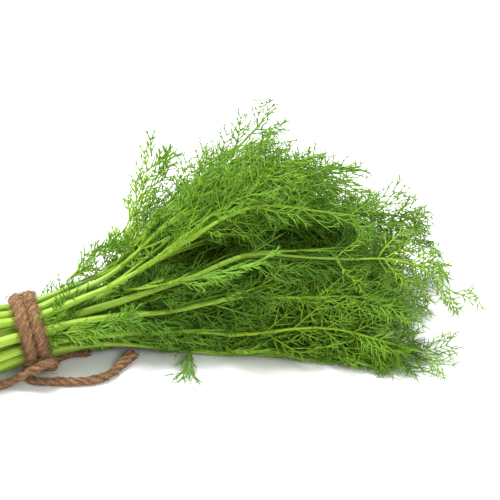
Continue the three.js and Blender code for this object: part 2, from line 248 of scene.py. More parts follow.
class Shell:
    """Closed forms gathered into one mesh, with the marks that its material reads."""

    MARKS = ("age", "tone", "rib")
    MAP_MARGIN = 0.03
    MAP_WIDTH = 0.004

    # The number of triangles in all meshes built so far.
    made = 0

    def __init__(self) -> None:
        """Starts an empty mesh."""
        self.points: list[np.ndarray] = []
        self.faces: list[np.ndarray] = []
        self.marks: list[np.ndarray] = []
        self.size = 0

    def add(self, points: np.ndarray, faces: np.ndarray, marks: np.ndarray) -> None:
        """Adds a closed form.

        Args:
            points: Its points.
            faces: Its triangles, as three indices into points each.
            marks: Its age, tone and rib at each point.
        """
        self.points.append(points.reshape(-1, 3))
        self.faces.append(faces.reshape(-1, 3) + self.size)
        self.marks.append(marks.reshape(-1, len(self.MARKS)))
        self.size += len(self.points[-1])

    def add_strands(self, strands: Strands, sides: int) -> None:
        """Adds threads as closed tubes with pointed tips.

        Args:
            strands: The threads.
            sides: The number of sides of each tube.
        """
        count, rings = strands.points.shape[0], strands.points.shape[1] - 1
        along = directions(strands.points)
        first = square_to(strands.facing[:, None, :], along)
        second = np.cross(along, first)
        turn = turns(sides)
        spoke = spokes(turn, first[:, :-1], second[:, :-1])
        ring = strands.points[:, :-1, None, :] + strands.radii[:, :-1, None, None] * spoke
        points = np.concatenate([ring.reshape(count, -1, 3), strands.points[:, -1:]], axis=1)
        age = np.concatenate([np.repeat(strands.age[:, :-1], sides, 1), strands.age[:, -1:]], 1)
        rib = np.append(np.tile(np.cos(turn), rings), 0)
        marks = np.stack([
            age,
            np.broadcast_to(strands.tone[:, None], age.shape),
            np.broadcast_to(rib, age.shape),
        ], axis=2)
        pattern = tube_faces(rings, sides, pointed=True)
        offset = np.arange(count)[:, None, None] * points.shape[1]
        self.add(points, pattern[None] + offset, marks)

    def build(self, name: str, material: bpy.types.Material, slot: Slot,
              replaced: list[str], bake_map: bool = False) -> bpy.types.Object:
        """Makes the mesh object and ties it to the frame.

        Args:
            name: The object's name.
            material: What it is finished in.
            slot: The record's material slot of that finish; not used.
            replaced: The CAD nodes that it stands for.
            bake_map: True lays the map for the bake out by age and tone.

        Returns:
            The object.
        """
        points = np.concatenate(self.points)
        faces = np.concatenate(self.faces)
        marks = np.concatenate(self.marks)
        mesh = bpy.data.meshes.new(name)
        mesh.vertices.add(len(points))
        mesh.vertices.foreach_set("co", points.astype(np.float32).ravel())
        mesh.loops.add(faces.size)
        mesh.loops.foreach_set("vertex_index", faces.astype(np.int32).ravel())
        mesh.polygons.add(len(faces))
        mesh.polygons.foreach_set("loop_start", np.arange(0, faces.size, 3, dtype=np.int32))
        mesh.polygons.foreach_set("use_smooth", np.ones(len(faces), dtype=bool))
        for column, mark in enumerate(self.MARKS):
            attribute = mesh.attributes.new(mark, "FLOAT", "POINT")
            attribute.data.foreach_set("value", marks[:, column].astype(np.float32))
        if bake_map:
            self.lay_bake_map(mesh, faces, marks)
        mesh.materials.append(material)
        mesh.update(calc_edges=True)
        built = placed_object(name, mesh)
        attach(built, "root")
        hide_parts(*replaced)
        Shell.made += len(faces)
        log.info("%s: %d triangles", name, len(faces))
        return built

    def lay_bake_map(self, mesh: bpy.types.Mesh, faces: np.ndarray,
                     marks: np.ndarray) -> None:
        """Lays a map on which a place is an age and a tone, so that threads may share it.

        Args:
            mesh: The mesh.
            faces: Its triangles.
            marks: Its age, tone and rib at each point.
        """
        age, tone, rib = marks[faces.ravel()].T
        inner = 1 - 2 * self.MAP_MARGIN
        across = self.MAP_MARGIN + inner * tone + self.MAP_WIDTH * rib
        layer = mesh.uv_layers.new(name=BAKE_MAP)
        places = np.stack([self.MAP_MARGIN + inner * age, across], axis=1)
        layer.uv.foreach_set("vector", places.astype(np.float32).ravel())


def tube_faces(rings: int, sides: int, pointed: bool) -> np.ndarray:
    """The triangles of a closed tube whose rings' points come one ring after another.

    Args:
        rings: The number of rings.
        sides: The number of points of a ring.
        pointed: True ends it in one more point, False in a flat cap.

    Returns:
        The triangles, facing out.
    """
    around = np.arange(sides)
    following = (around + 1) % sides
    faces = [np.stack([np.zeros(sides - 2, int), around[2:], around[1:-1]], axis=1)]
    for ring in range(rings - 1):
        near, far = ring * sides, (ring + 1) * sides
        faces.append(np.stack([near + around, near + following, far + following], axis=1))
        faces.append(np.stack([near + around, far + following, far + around], axis=1))
    last = (rings - 1) * sides
    if pointed:
        tip = np.full(sides, rings * sides)
        faces.append(np.stack([last + around, last + following, tip], axis=1))
    else:
        start = np.full(sides - 2, last)
        faces.append(np.stack([start, last + around[1:-1], last + around[2:]], axis=1))
    return np.concatenate(faces)


# ---------------------------------------------------------------- finishes


def colour(red: int, green: int, blue: int) -> tuple[float, float, float, float]:
    """A colour for a shader.

    Args:
        red: The red of the colour as a screen shows it, to 255.
        green: The green.
        blue: The blue.

    Returns:
        The same colour in the shader's linear numbers, opaque.
    """
    linear = [
        c / 12.92 if c <= 0.04045 else ((c + 0.055) / 1.055) ** 2.4
        for c in (red / 255, green / 255, blue / 255)
    ]
    return (*linear, 1.0)


# The plant's greens by age, and what the darkest and the lightest tone do to them.
GREENS = (
    (0.00, colour(166, 195, 54)),
    (0.22, colour(150, 187, 42)),
    (0.48, colour(116, 161, 34)),
    (0.78, colour(99, 144, 30)),
    (1.00, colour(140, 164, 66)),
)
LIGHTNESS = (0.55, 1.28)
HUE = (0.518, 0.488)

# The jute's browns by tone.
BROWNS = (
    (0.00, colour(104, 70, 46)),
    (0.35, colour(150, 108, 74)),
    (0.70, colour(194, 152, 110)),
    (1.00, colour(240, 212, 166)),
)

# Where the noise of the fibres is cut off at its dark and at its light end.
FIBRE_EDGES = (0.32, 0.68)


class NodeGroup:
    """A shader node group with named inputs and outputs."""

    def __init__(self, name: str, inputs: dict[str, tuple[str, object]],
                 outputs: dict[str, str]) -> None:
        """Makes the group and its sockets.

        Args:
            name: The group's name.
            inputs: The kind and the first value of each input.
            outputs: The kind of each output.
        """
        self.tree = bpy.data.node_groups.new(name, "ShaderNodeTree")
        for label, (kind, value) in inputs.items():
            socket = self.tree.interface.new_socket(label, in_out="INPUT", socket_type=kind)
            if value is not None:
                socket.default_value = value
        for label, kind in outputs.items():
            self.tree.interface.new_socket(label, in_out="OUTPUT", socket_type=kind)
        self.source = self.tree.nodes.new("NodeGroupInput")
        self.result = self.tree.nodes.new("NodeGroupOutput")

    def node(self, kind: str, **values: object) -> bpy.types.Node:
        """Adds a node to the group; values set its properties."""
        return add_node(self.tree, kind, **values)

    def link(self, source: bpy.types.NodeSocket, target: bpy.types.NodeSocket) -> None:
        """Joins two sockets."""
        self.tree.links.new(source, target)


def add_node(tree: bpy.types.NodeTree, kind: str, **values: object) -> bpy.types.Node:
    """Adds a node to a tree.

    Args:
        tree: The tree.
        kind: The node's type.
        **values: Its properties, by name.

    Returns:
        The node.
    """
    node = tree.nodes.new(kind)
    for label, value in values.items():
        setattr(node, label, value)
    return node


def set_ramp(node: bpy.types.Node,
             stops: tuple[tuple[float, tuple[float, float, float, float]], ...]) -> None:
    """Gives a colour ramp its stops.

    Args:
        node: The ramp.
        stops: The stops from the first to the last, each a place and a colour.
    """
    ramp = node.color_ramp
    while len(ramp.elements) > 1:
        ramp.elements.remove(ramp.elements[-1])
    ramp.elements[0].position, ramp.elements[0].color = stops[0]
    for place, shade in stops[1:]:
        ramp.elements.new(place).color = shade


def dill_green_group() -> NodeGroup:
    """Makes the plant's colour by age and tone, which stalks and fronds share.

    Returns:
        The group; a higher tone is lighter and a little yellower.
    """
    group = NodeGroup(
        "dill_green",
        {"Age": ("NodeSocketFloat", 0.0), "Tone": ("NodeSocketFloat", 0.5)},
        {"Color": "NodeSocketColor"},
    )
    ramp = group.node("ShaderNodeValToRGB")
    set_ramp(ramp, GREENS)
    lightness = group.node("ShaderNodeMapRange")
    turn = group.node("ShaderNodeMapRange")
    for node, (low, high) in ((lightness, LIGHTNESS), (turn, HUE)):
        node.inputs["To Min"].default_value = low
        node.inputs["To Max"].default_value = high
    shade = group.node("ShaderNodeHueSaturation")
    group.link(group.source.outputs["Age"], ramp.inputs["Fac"])
    group.link(group.source.outputs["Tone"], lightness.inputs["Value"])
    group.link(group.source.outputs["Tone"], turn.inputs["Value"])
    group.link(lightness.outputs["Result"], shade.inputs["Value"])
    group.link(turn.outputs["Result"], shade.inputs["Hue"])
    group.link(ramp.outputs["Color"], shade.inputs["Color"])
    group.link(shade.outputs["Color"], group.result.inputs["Color"])
    return group


def fibre_group() -> NodeGroup:
    """Makes long fibres or streaks, which the stalks and the twine share.

    Returns:
        The group; Stretch squeezes the pattern along each axis, and Mask is 1 on a fibre.
    """
    group = NodeGroup(
        "fibres",
        {
            "Scale": ("NodeSocketFloat", 900.0),
            "Stretch": ("NodeSocketVector", (1.0, 1.0, 1.0)),
            "Detail": ("NodeSocketFloat", 3.0),
        },
        {"Mask": "NodeSocketFloat"},
    )
    place = group.node("ShaderNodeTexCoord")
    stretched = group.node("ShaderNodeVectorMath", operation="MULTIPLY")
    noise = group.node("ShaderNodeTexNoise")
    sharpen = group.node("ShaderNodeMapRange")
    for label, edge in zip(("From Min", "From Max"), FIBRE_EDGES):
        sharpen.inputs[label].default_value = edge
    group.link(place.outputs["Object"], stretched.inputs[0])
    group.link(group.source.outputs["Stretch"], stretched.inputs[1])
    group.link(stretched.outputs["Vector"], noise.inputs["Vector"])
    group.link(group.source.outputs["Scale"], noise.inputs["Scale"])
    group.link(group.source.outputs["Detail"], noise.inputs["Detail"])
    group.link(noise.outputs["Fac"], sharpen.inputs["Value"])
    group.link(sharpen.outputs["Result"], group.result.inputs["Mask"])
    return group


@dataclass
class Finish:
    """A finish of one Principled shader, with the helpers that its kinds share.

    Attributes:
        name: The material's name.
        roughness: The shader's roughness.
        specular: The shader's specular level.
        material: The material itself.
        tree: Its node tree.
        shader: Its shader.
    """

    name: str
    roughness: float = 0.5
    specular: float = 0.5
    material: bpy.types.Material = field(init=False)
    tree: bpy.types.NodeTree = field(init=False)
    shader: bpy.types.Node = field(init=False)

    def __post_init__(self) -> None:
        """Makes the material and its shader."""
        self.material = bpy.data.materials.new(self.name)
        self.material.use_nodes = True
        self.tree = self.material.node_tree
        self.shader = self.tree.nodes["Principled BSDF"]
        self.shader.inputs["Roughness"].default_value = self.roughness
        self.shader.inputs["Specular IOR Level"].default_value = self.specular
        self.dress()

    def dress(self) -> None:
        """Adds the nodes of the finish."""

    def node(self, kind: str, **values: object) -> bpy.types.Node:
        """Adds a node; values set its properties."""
        return add_node(self.tree, kind, **values)

    def placed(self, group: NodeGroup) -> bpy.types.Node:
        """Places a node group in the material."""
        return self.node("ShaderNodeGroup", node_tree=group.tree)

    def mark(self, name: str) -> bpy.types.NodeSocket:
        """One of the mesh's marks, as a number."""
        return self.node("ShaderNodeAttribute", attribute_name=name).outputs["Fac"]

    def link(self, source: bpy.types.NodeSocket, target: bpy.types.NodeSocket | str) -> None:
        """Joins two sockets.

        Args:
            source: The socket that gives.
            target: The socket that takes; a name stands for that input of the shader.
        """
        if isinstance(target, str):
            target = self.shader.inputs[target]
        self.tree.links.new(source, target)

    def mix(self, share: bpy.types.NodeSocket, first: object, second: object,
            blend: str = "MIX") -> bpy.types.NodeSocket:
        """Mixes two colours.

        Args:
            share: How much of the second shows.
            first: A colour or a socket that gives one.
            second: A colour or a socket that gives one.
            blend: How they mix.

        Returns:
            The socket that gives the mixed colour.
        """
        node = self.node("ShaderNodeMix", data_type="RGBA", blend_type=blend)
        self.link(share, node.inputs["Factor"])
        for value, socket in ((first, node.inputs["A"]), (second, node.inputs["B"])):
            if isinstance(value, bpy.types.NodeSocket):
                self.link(value, socket)
            else:
                socket.default_value = value
        return node.outputs["Result"]

    def spread(self, value: bpy.types.NodeSocket, low: float, high: float,
               start: float = 0.0, end: float = 1.0) -> bpy.types.NodeSocket:
        """Spreads a number that runs from start to end over low to high.

        Args:
            value: The number.
            low: What start becomes.
            high: What end becomes.
            start: Where the number starts.
            end: Where it ends.

        Returns:
            The socket that gives the new number.
        """
        node = self.node("ShaderNodeMapRange")
        for label, number in (("From Min", start), ("From Max", end),
                              ("To Min", low), ("To Max", high)):
            node.inputs[label].default_value = number
        self.link(value, node.inputs["Value"])
        return node.outputs["Result"]

    def roughen(self, height: bpy.types.NodeSocket, strength: float, depth: float) -> None:
        """Gives the surface a relief.

        Args:
            height: The number that gives the relief.
            strength: How strongly it shows.
            depth: How deep it is.
        """
        bump = self.node("ShaderNodeBump")
        bump.inputs["Strength"].default_value = strength
        bump.inputs["Distance"].default_value = depth
        self.link(height, bump.inputs["Height"])
        self.link(bump.outputs["Normal"], "Normal")


@dataclass
class FrondFinish(Finish):
    """Thread-like leaf segments: bright near the stalk, olive at their tips.

    Attributes:
        green: The group that gives the plant's colour.
        glow: How much light passes on inside a segment.
    """

    green: NodeGroup | None = None
    glow: float = 0.25

    def dress(self) -> None:
        """Colours the segments by age and tone."""
        shades = self.placed(self.green)
        self.link(self.mark("age"), shades.inputs["Age"])
        self.link(self.mark("tone"), shades.inputs["Tone"])
        self.link(shades.outputs["Color"], "Base Color")
        self.shader.inputs["Subsurface Weight"].default_value = self.glow
        self.shader.inputs["Subsurface Radius"].default_value = (0.6, 1.0, 0.2)
        self.shader.inputs["Subsurface Scale"].default_value = 0.6 * MM


@dataclass
class StalkFinish(Finish):
    """Ribbed stalks: lengthwise streaks, a pale cut face, and darker grooves, partly tint, partly
    painted shade.

    Attributes:
        green: The group that gives the plant's colour.
        fibres: The group that gives the streaks.
    """

    green: NodeGroup | None = None
    fibres: NodeGroup | None = None

    STREAK = colour(206, 228, 118)
    STREAK_SHARE = 0.26
    # The darker green of the grooves between the ribs: partly the stalk's own tint, partly painted
    # shade.
    GROOVE_TINT_AND_SHADE = colour(84, 126, 26)
    GROOVE_TINT_AND_SHADE_SHARE = 0.45
    CUT_FACE = colour(232, 238, 196)

    def dress(self) -> None:
        """Colours ribs, streaks and cut faces; the darker grooves are partly tint, partly painted
        shade.
        """
        age, tone, rib = (self.mark(name) for name in Shell.MARKS)
        shades = self.placed(self.green)
        self.link(age, shades.inputs["Age"])
        self.link(tone, shades.inputs["Tone"])
        streaks = self.placed(self.fibres)
        streaks.inputs["Scale"].default_value = 1100
        streaks.inputs["Stretch"].default_value = (0.05, 1, 1)
        pale = self.mix(self.spread(streaks.outputs["Mask"], 0, self.STREAK_SHARE),
                        shades.outputs["Color"], self.STREAK)
        groove_tint_and_shade = self.mix(self.spread(rib, self.GROOVE_TINT_AND_SHADE_SHARE, 0), pale, self.GROOVE_TINT_AND_SHADE)
        cut = self.mix(self.spread(age, 1, 0, CUT_AGE, 0), groove_tint_and_shade, self.CUT_FACE)
        self.link(cut, "Base Color")
        self.roughen(streaks.outputs["Mask"], strength=0.25, depth=0.1 * MM)
        self.shader.inputs["Subsurface Weight"].default_value = 0.2
        self.shader.inputs["Subsurface Radius"].default_value = (0.6, 1.0, 0.25)
        self.shader.inputs["Subsurface Scale"].default_value = 1.2 * MM


@dataclass
class TwineFinish(Finish):
    """Rough jute: brown plies with straw and reddish fibres, and painted shade between the plies.

    Attributes:
        fibres: The group that gives the fibres.
    """

    fibres: NodeGroup | None = None

    REDDISH = colour(124, 84, 58)
    REDDISH_SHARE = 0.55
    # Painted shade in the valleys between the plies: its colour, and how much of it shows there.
    VALLEY_SHADE = colour(104, 68, 46)
    VALLEY_SHADE_SHARE = 0.75

    def dress(self) -> None:
        """Colours the fibres, and paints shade into the valleys between the plies."""
        tone, rib = self.mark("tone"), self.mark("rib")
        threads = self.placed(self.fibres)
        threads.inputs["Scale"].default_value = 1600
        threads.inputs["Stretch"].default_value = (1, 0.45, 0.6)
        ramp = self.node("ShaderNodeValToRGB")
        set_ramp(ramp, BROWNS)
        self.link(tone, ramp.inputs["Fac"])
        fibrous = self.mix(self.spread(threads.outputs["Mask"], 0, self.REDDISH_SHARE),
                           ramp.outputs["Color"], self.REDDISH)
        valley_shade = self.mix(self.spread(rib, self.VALLEY_SHADE_SHARE, 0), fibrous, self.VALLEY_SHADE)
        self.link(valley_shade, "Base Color")
        self.roughen(threads.outputs["Mask"], strength=0.8, depth=0.25 * MM)


@dataclass
class SurfaceFinish(Finish):
    """The plain white surface that the bunch lies on."""

    WHITES = (colour(251, 251, 251), colour(249, 249, 248))

    def dress(self) -> None:
        """Gives it a faint unevenness."""
        noise = self.node("ShaderNodeTexNoise")
        noise.inputs["Scale"].default_value = 3
        self.link(self.mix(noise.outputs["Fac"], *self.WHITES), "Base Color")


# ---------------------------------------------------------------- the sprigs


@dataclass(frozen=True)
class SprigLine:
    """The middle line of a sprig, read from its stalk and its frond in the frame.

    Attributes:
        stations: Places along x.
        middle: The line's point at each.
        radii: The stalk's radius at each.
        frond_from: Where the frond begins.
    """

    stations: np.ndarray
    middle: np.ndarray
    radii: np.ndarray
    frond_from: float

    # How the frame's corners are rounded, the sides of a stalk and the spans of a frond there,
    # how the line is smoothed, its radius at the tip, and how many of its last steps carry it on.
    DIGITS = 7
    SIDES = 8
    SPANS = 8
    SMOOTHING = 5 * MM
    STEP = 1 * MM
    TIP_RADIUS = 0.35 * MM
    TAIL = 12

    @classmethod
    def corners(cls, node: str) -> np.ndarray:
        """The corners of a CAD node.

        Args:
            node: The node's name.

        Returns:
            Its corners, each once, by their x.
        """
        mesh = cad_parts[node].data
        found = np.empty(3 * len(mesh.vertices))
        mesh.vertices.foreach_get("co", found)
        found = np.unique(found.reshape(-1, 3).round(cls.DIGITS), axis=0)
        return found[np.argsort(found[:, 0])]

    @classmethod
    def of(cls, name: str) -> "SprigLine":
        """Reads the line of a sprig.

        Args:
            name: The sprig's name.

        Returns:
            Its line, from its cut end to the tip of its frond.
        """
        rings = cls.corners(f"stalk_{name}").reshape(-1, cls.SIDES, 3)
        middle = rings.mean(1)
        radii = np.linalg.norm(rings - middle[:, None], axis=2).mean(1)
        blade = cls.corners(f"frond_{name}")
        begins, ends = blade[0, 0], blade[-1, 0]
        edges = np.linspace(begins, ends, cls.SPANS + 1)
        spans = zip(edges[1:-2], edges[2:-1])
        inner = [blade[(blade[:, 0] >= a) & (blade[:, 0] < b)].mean(0) for a, b in spans]
        line = np.vstack([middle, inner, blade[-1:]])
        stations = np.arange(line[0, 0], ends, cls.STEP)
        reach = int(3 * cls.SMOOTHING / cls.STEP)
        weights = np.exp(-0.5 * (np.arange(-reach, reach + 1) * cls.STEP / cls.SMOOTHING) ** 2)
        weights /= weights.sum()
        smooth = []
        for column in (1, 2):
            raw = np.interp(stations, line[:, 0], line[:, column])
            ends_kept = np.pad(raw, reach, mode="reflect", reflect_type="odd")
            smooth.append(np.convolve(ends_kept, weights, mode="valid"))
        thick = np.interp(stations, [*middle[:, 0], ends], [*radii, cls.TIP_RADIUS])
        return cls(stations, np.stack([stations, *smooth], axis=1), thick, float(begins))

    def at(self, x: np.ndarray) -> np.ndarray:
        """The line's points, carried on straight past its ends.

        Args:
            x: Where along it.

        Returns:
            The points.
        """
        inside = np.clip(x, self.stations[0], self.stations[-1])
        points = read_along(inside, self.stations, self.middle)
        tail = unit(self.middle[-1] - self.middle[-self.TAIL])
        return points + (np.asarray(x) - inside)[..., None] * tail / tail[0]

    def radius(self, x: np.ndarray) -> np.ndarray:
        """The stalk's radius at these x."""
        return np.interp(x, self.stations, self.radii)


@dataclass(frozen=True)
class Branching:
    """How one order of a leaf's branches stands on the one before.

    Attributes:
        nodes: Shares of the parent's length where a pair stands.
        angle: Degrees between a branch and its parent.
        reach: A branch's length at the parent's base, as a share of the parent's.
        least: What is added to that, so that the last ones have a length too.
        fall: How fast the lengths fall towards the parent's tip.
        radius: A branch's radius at its base.
        slender: What is left of it before the tip, as a share.
        points: The number of points of a branch.
        forward: How far a branch bends forward along its parent.
        scatter: Degrees by which branches leave their parent's plane.
        extra: The share of nodes with a third branch, square to the plane.
        ripens: How much age a branch gains along its length.
        kept: The share of branches that stand.
        gap: The least distance between nodes; a short parent carries fewer.
        curl: How unevenly they bend.
    """

    nodes: tuple[float, ...]
    angle: float
    reach: float
    least: float
    radius: float
    points: int
    fall: float = 0.7
    slender: float = 0.6
    forward: float = 0.5
    scatter: float = 24
    extra: float = 0.35
    ripens: float = 0.2
    kept: float = 0.94
    gap: float = 1.5 * MM
    curl: float = 0.06

    # How chance varies the nodes, the angles, the lengths, the radii, the tones and the planes.
    UNEVEN = 0.012
    ANGLES = (0.85, 1.15)
    LENGTHS = (0.72, 1.2)
    RADII = (0.85, 1.15)
    TONE_SPREAD = 0.05
    LEAN = 0.15

    def grow(self, parents: Strands, rng: np.random.Generator) -> Strands:
        """Grows this order of branches.

        Args:
            parents: The strands that carry them.
            rng: The source of chance.

        Returns:
            The branches.
        """
        count = len(parents.points)
        sides = np.tile([1.0, -1.0, 0.0], len(self.nodes))
        uneven = rng.normal(0, self.UNEVEN, (count, len(sides)))
        shares = np.repeat(self.nodes, 3)[None, :] + uneven
        base, along, age = parents.at(shares)
        facing = np.broadcast_to(parents.facing[:, None, :], base.shape)
        facing = square_to(facing, along)
        across = np.cross(facing, along)
        roll = np.radians(rng.normal(0, self.scatter, shares.shape))
        flip = rng.choice([-1.0, 1.0], shares.shape)
        out = np.where(
            (sides == 0)[None, :, None],
            facing * flip[..., None],
            across * sides[None, :, None] * np.cos(roll)[..., None]
            + facing * np.sin(roll)[..., None],
        )
        angle = np.radians(self.angle * rng.uniform(*self.ANGLES, shares.shape))[..., None]
        heading = np.cos(angle) * along + np.sin(angle) * out
        length = parents.lengths()[:, None] * self.reach * (1 - shares.clip(0, 1)) ** self.fall
        length = (length + self.least) * rng.uniform(*self.LENGTHS, shares.shape)
        room = parents.lengths()[:, None] / (len(self.nodes) * self.gap)
        kept = np.where(sides == 0, self.extra, self.kept)[None, :] * np.minimum(room, 1)
        stand = rng.random(shares.shape) < kept
        pull = self.forward * (along - heading) + rng.normal(0, self.curl, base.shape)
        step = np.linspace(0, 1, self.points)[:, None]
        curve = (heading[..., None, :] * step
                 + 0.5 * pull[..., None, :] * step ** 2)
        points = base[..., None, :] + length[..., None, None] * curve
        profile = np.append(np.linspace(1, self.slender, self.points - 1), 0)
        thick = self.radius * rng.uniform(*self.RADII, shares.shape)
        ages = np.minimum(age[..., None] + self.ripens * step[:, 0], 1)
        lighter = rng.normal(0, self.TONE_SPREAD, shares.shape)
        tone = np.clip(parents.tone[:, None] + lighter, 0, 1)
        lean = square_to(facing + rng.normal(0, self.LEAN, facing.shape), heading)
        return Strands(
            points[stand], (thick[..., None] * profile)[stand], lean[stand],
            ages[stand], tone[stand],
        )


@dataclass(frozen=True)
class LeafKind:
    """A leaf's orders of branches, from the widest to the threads.

    Attributes:
        orders: The branchings.
    """

    orders: tuple[Branching, ...]

    # The sides of a midrib's tube and of a thread's.
    RIB_SIDES = 5
    THREAD_SIDES = 3

    def grow(self, ribs: Strands, shell: Shell, rng: np.random.Generator, mound: "Mound",
             own: str = "") -> None:
        """Adds leaves to a mesh.

        Args:
            ribs: The leaves' midribs.
            shell: The mesh.
            rng: The source of chance.
            mound: The space that the leaves keep to.
            own: The name of the sprig that carries them.
        """
        strands = replace(ribs, points=mound.settled(ribs.points))
        shell.add_strands(strands, self.RIB_SIDES)
        for order in self.orders:
            strands = order.grow(strands, rng)
            strands = strands.chosen(~mound.veils(strands.points, rng, own))
            strands = replace(strands, points=mound.settled(strands.points))
            shell.add_strands(strands, self.THREAD_SIDES)


@dataclass
class Mound:
    """The space that the leaves keep to.

    They stay above the surface and near the CAD box, are pressed in along the mound's near edge,
    leave the two dark hollows beside the long stalk open, and keep off the outer face of the few
    stalks that lie open on the mound.

    Attributes:
        lines: The middle lines of all sprigs, by name.
        bare: The sprigs whose stalks lie open, and from where to where along x.
        sprayed: The sprig whose stalk carries an open spray at its tip.
        edged: Whether the leaves are pressed in along the near edge.
        room: How far past the CAD box they may reach, on all sides but below.
        least: The least height of a leaf's middle line.
    """

    lines: dict[str, SprigLine]
    bare: dict[str, tuple[float, float]]
    sprayed: str
    edged: bool = True
    room: float = 9 * MM
    least: float = 0.45 * MM

    # Over what length points are pressed together, above the surface and inside the room.
    GIVE = 3 * MM
    EASING = 10 * MM

    # The near edge, as y by x. It recedes with height and waves a little.
    EDGE_X = np.array((-50, -23, -4, 25, 53, 70, 85)) * MM
    EDGE_Y = np.array((10, 3, -8, -23, -40, -58, -84)) * MM
    EDGE_SLOPE = 1.2
    EDGE_EASING = 6 * MM
    EDGE_WAVE = 1.5 * MM
    EDGE_WAVE_LENGTH = 4.3 * MM

    # Open stalks. OUTWARDS is square to the mound's near face, and ALONG_UP runs up that face;
    # leaves keep off by BESIDE, and VEIL is the share of them that do.
    OUTWARDS = np.array([-0.31, -0.78, 0.54])
    ALONG_UP = np.array([0.20, 0.51, 0.84])
    BESIDE = 0.8 * MM
    VEIL = 0.95

    # Hollows, in millimetres: x, how far above the sprayed stalk, half length, half height.
    HOLLOWS = ((52, 8, 19, 5), (8, 9, 13, 4.5))
    HOLLOW_DEEP = 16 * MM

    def side(self, name: str, x: float) -> float:
        """How far out a sprig lies across the mound.

        Args:
            name: The sprig.
            x: Where along the mound.

        Returns:
            From -1 at the near edge to 1 at the far one.
        """
        across = np.array([line.at(np.array(x))[1] for line in self.lines.values()])
        middle = (across.max() + across.min()) / 2
        return float((self.lines[name].at(np.array(x))[1] - middle) / (np.ptp(across) / 2))

    def veils(self, points: np.ndarray, rng: np.random.Generator, own: str) -> np.ndarray:
        """Which strands would lie over the outer face of an open stalk or fill a hollow.

        Args:
            points: The strands' points.
            rng: The source of chance; it lets a few stay.
            own: The sprig that carries them; its own stalk doesn't count.

        Returns:
            True for each strand to leave out.
        """
        over = np.zeros(len(points), dtype=bool)
        for name, (begins, ends) in self.bare.items():
            if name == own:
                continue
            line = self.lines[name]
            x = points[..., 0]
            away = points - line.at(x)
            height = away @ self.OUTWARDS
            beside = np.linalg.norm(away - height[..., None] * self.OUTWARDS, axis=-1)
            reach = line.radius(x) + self.BESIDE
            covers = (beside < reach) & (height > 0) & (x > begins) & (x < ends)
            over |= covers.any(1)
        for start, rise, half, low in self.HOLLOWS:
            centre = self.lines[self.sprayed].at(np.array(start * MM)) + rise * MM * self.ALONG_UP
            away = points - centre
            inside = ((away[..., 0] / (half * MM)) ** 2
                      + (away @ self.ALONG_UP / (low * MM)) ** 2
                      + ((away @ self.OUTWARDS) / self.HOLLOW_DEEP) ** 2) < 1
            over |= inside[:, 1:].any(1) & (own != self.sprayed)
        return over & (rng.random(len(points)) < self.VEIL)

    def settled(self, points: np.ndarray) -> np.ndarray:
        """Presses points into the space.

        Args:
            points: The points.

        Returns:
            The points in their place.
        """
        low, high = (np.array(corner) for corner in CAD_BOX)
        pressed = points.copy()
        for axis in range(3):
            limit = high[axis] + self.room
            pressed[..., axis] = eased(pressed[..., axis], limit, self.EASING)
        near = self.room - low[1]
        pressed[..., 1] = -eased(-pressed[..., 1], near, self.EASING)
        edge = np.interp(points[..., 0], self.EDGE_X, self.EDGE_Y)
        edge = edge - self.EDGE_SLOPE * points[..., 2].clip(0)
        edge = edge + self.EDGE_WAVE * np.sin(points[..., 0] / self.EDGE_WAVE_LENGTH)
        if self.edged:
            pressed[..., 1] = -eased(-pressed[..., 1], -edge, self.EDGE_EASING)
        return settle(pressed, self.GIVE, self.least)


# The second order of a leaf's branches, and its last.
TWIGS = partial(Branching, points=4, forward=0.15, scatter=12, slender=0.75, extra=0.0)
THREADS = partial(Branching, points=3, forward=0.1, scatter=14, slender=0.85, extra=0.0)

# A lower sprig's leaf, well filled.
COMBED = LeafKind((
    Branching(nodes=(0.22, 0.40, 0.56, 0.72, 0.87), angle=36, reach=0.26,
              least=8 * MM, radius=0.42 * MM, points=5, forward=0.3, ripens=0.14,
              extra=0.25, scatter=18, gap=4.2 * MM),
    TWIGS(nodes=(0.18, 0.40, 0.62, 0.84), angle=38, reach=0.20, least=7.4 * MM,
          radius=0.31 * MM, ripens=0.16, extra=0.1, gap=3.3 * MM),
    THREADS(nodes=(0.36, 0.66), angle=32, reach=0.30, least=4.2 * MM, radius=0.26 * MM,
            ripens=0.22, kept=0.66, gap=3.2 * MM),
))

# A top sprig's leaf: finer and more open, with its branches in pairs only.
AIRY = LeafKind((
    Branching(nodes=(0.18, 0.36, 0.53, 0.70, 0.86), angle=42, reach=0.22,
              least=9 * MM, radius=0.37 * MM, points=5, forward=0.35, ripens=0.14,
              extra=0.0, scatter=18, fall=0.5, gap=4.4 * MM),
    TWIGS(nodes=(0.20, 0.44, 0.68, 0.88), angle=40, reach=0.20, least=6 * MM,
          radius=0.32 * MM, ripens=0.16, gap=3.5 * MM),
    THREADS(nodes=(0.38, 0.68), angle=31, reach=0.30, least=3.8 * MM, radius=0.25 * MM,
            ripens=0.22, kept=0.55, gap=3.2 * MM),
))

# A small leaf on the outside: short, thick threads close to the midrib.
SMALL = LeafKind((
    Branching(nodes=(0.10, 0.25, 0.40, 0.54, 0.68, 0.81, 0.92), angle=28, reach=0.12,
              least=8 * MM, radius=0.5 * MM, points=5, forward=0.35, ripens=0.06,
              extra=0.15, scatter=16, gap=3.8 * MM),
    TWIGS(nodes=(0.24, 0.48, 0.72), angle=28, reach=0.20, least=5 * MM,
          radius=0.41 * MM, ripens=0.08, gap=3.4 * MM),
    THREADS(nodes=(0.50,), angle=26, reach=0.30, least=2.8 * MM, radius=0.3 * MM,
            ripens=0.1, kept=0.5, gap=2.8 * MM),
))

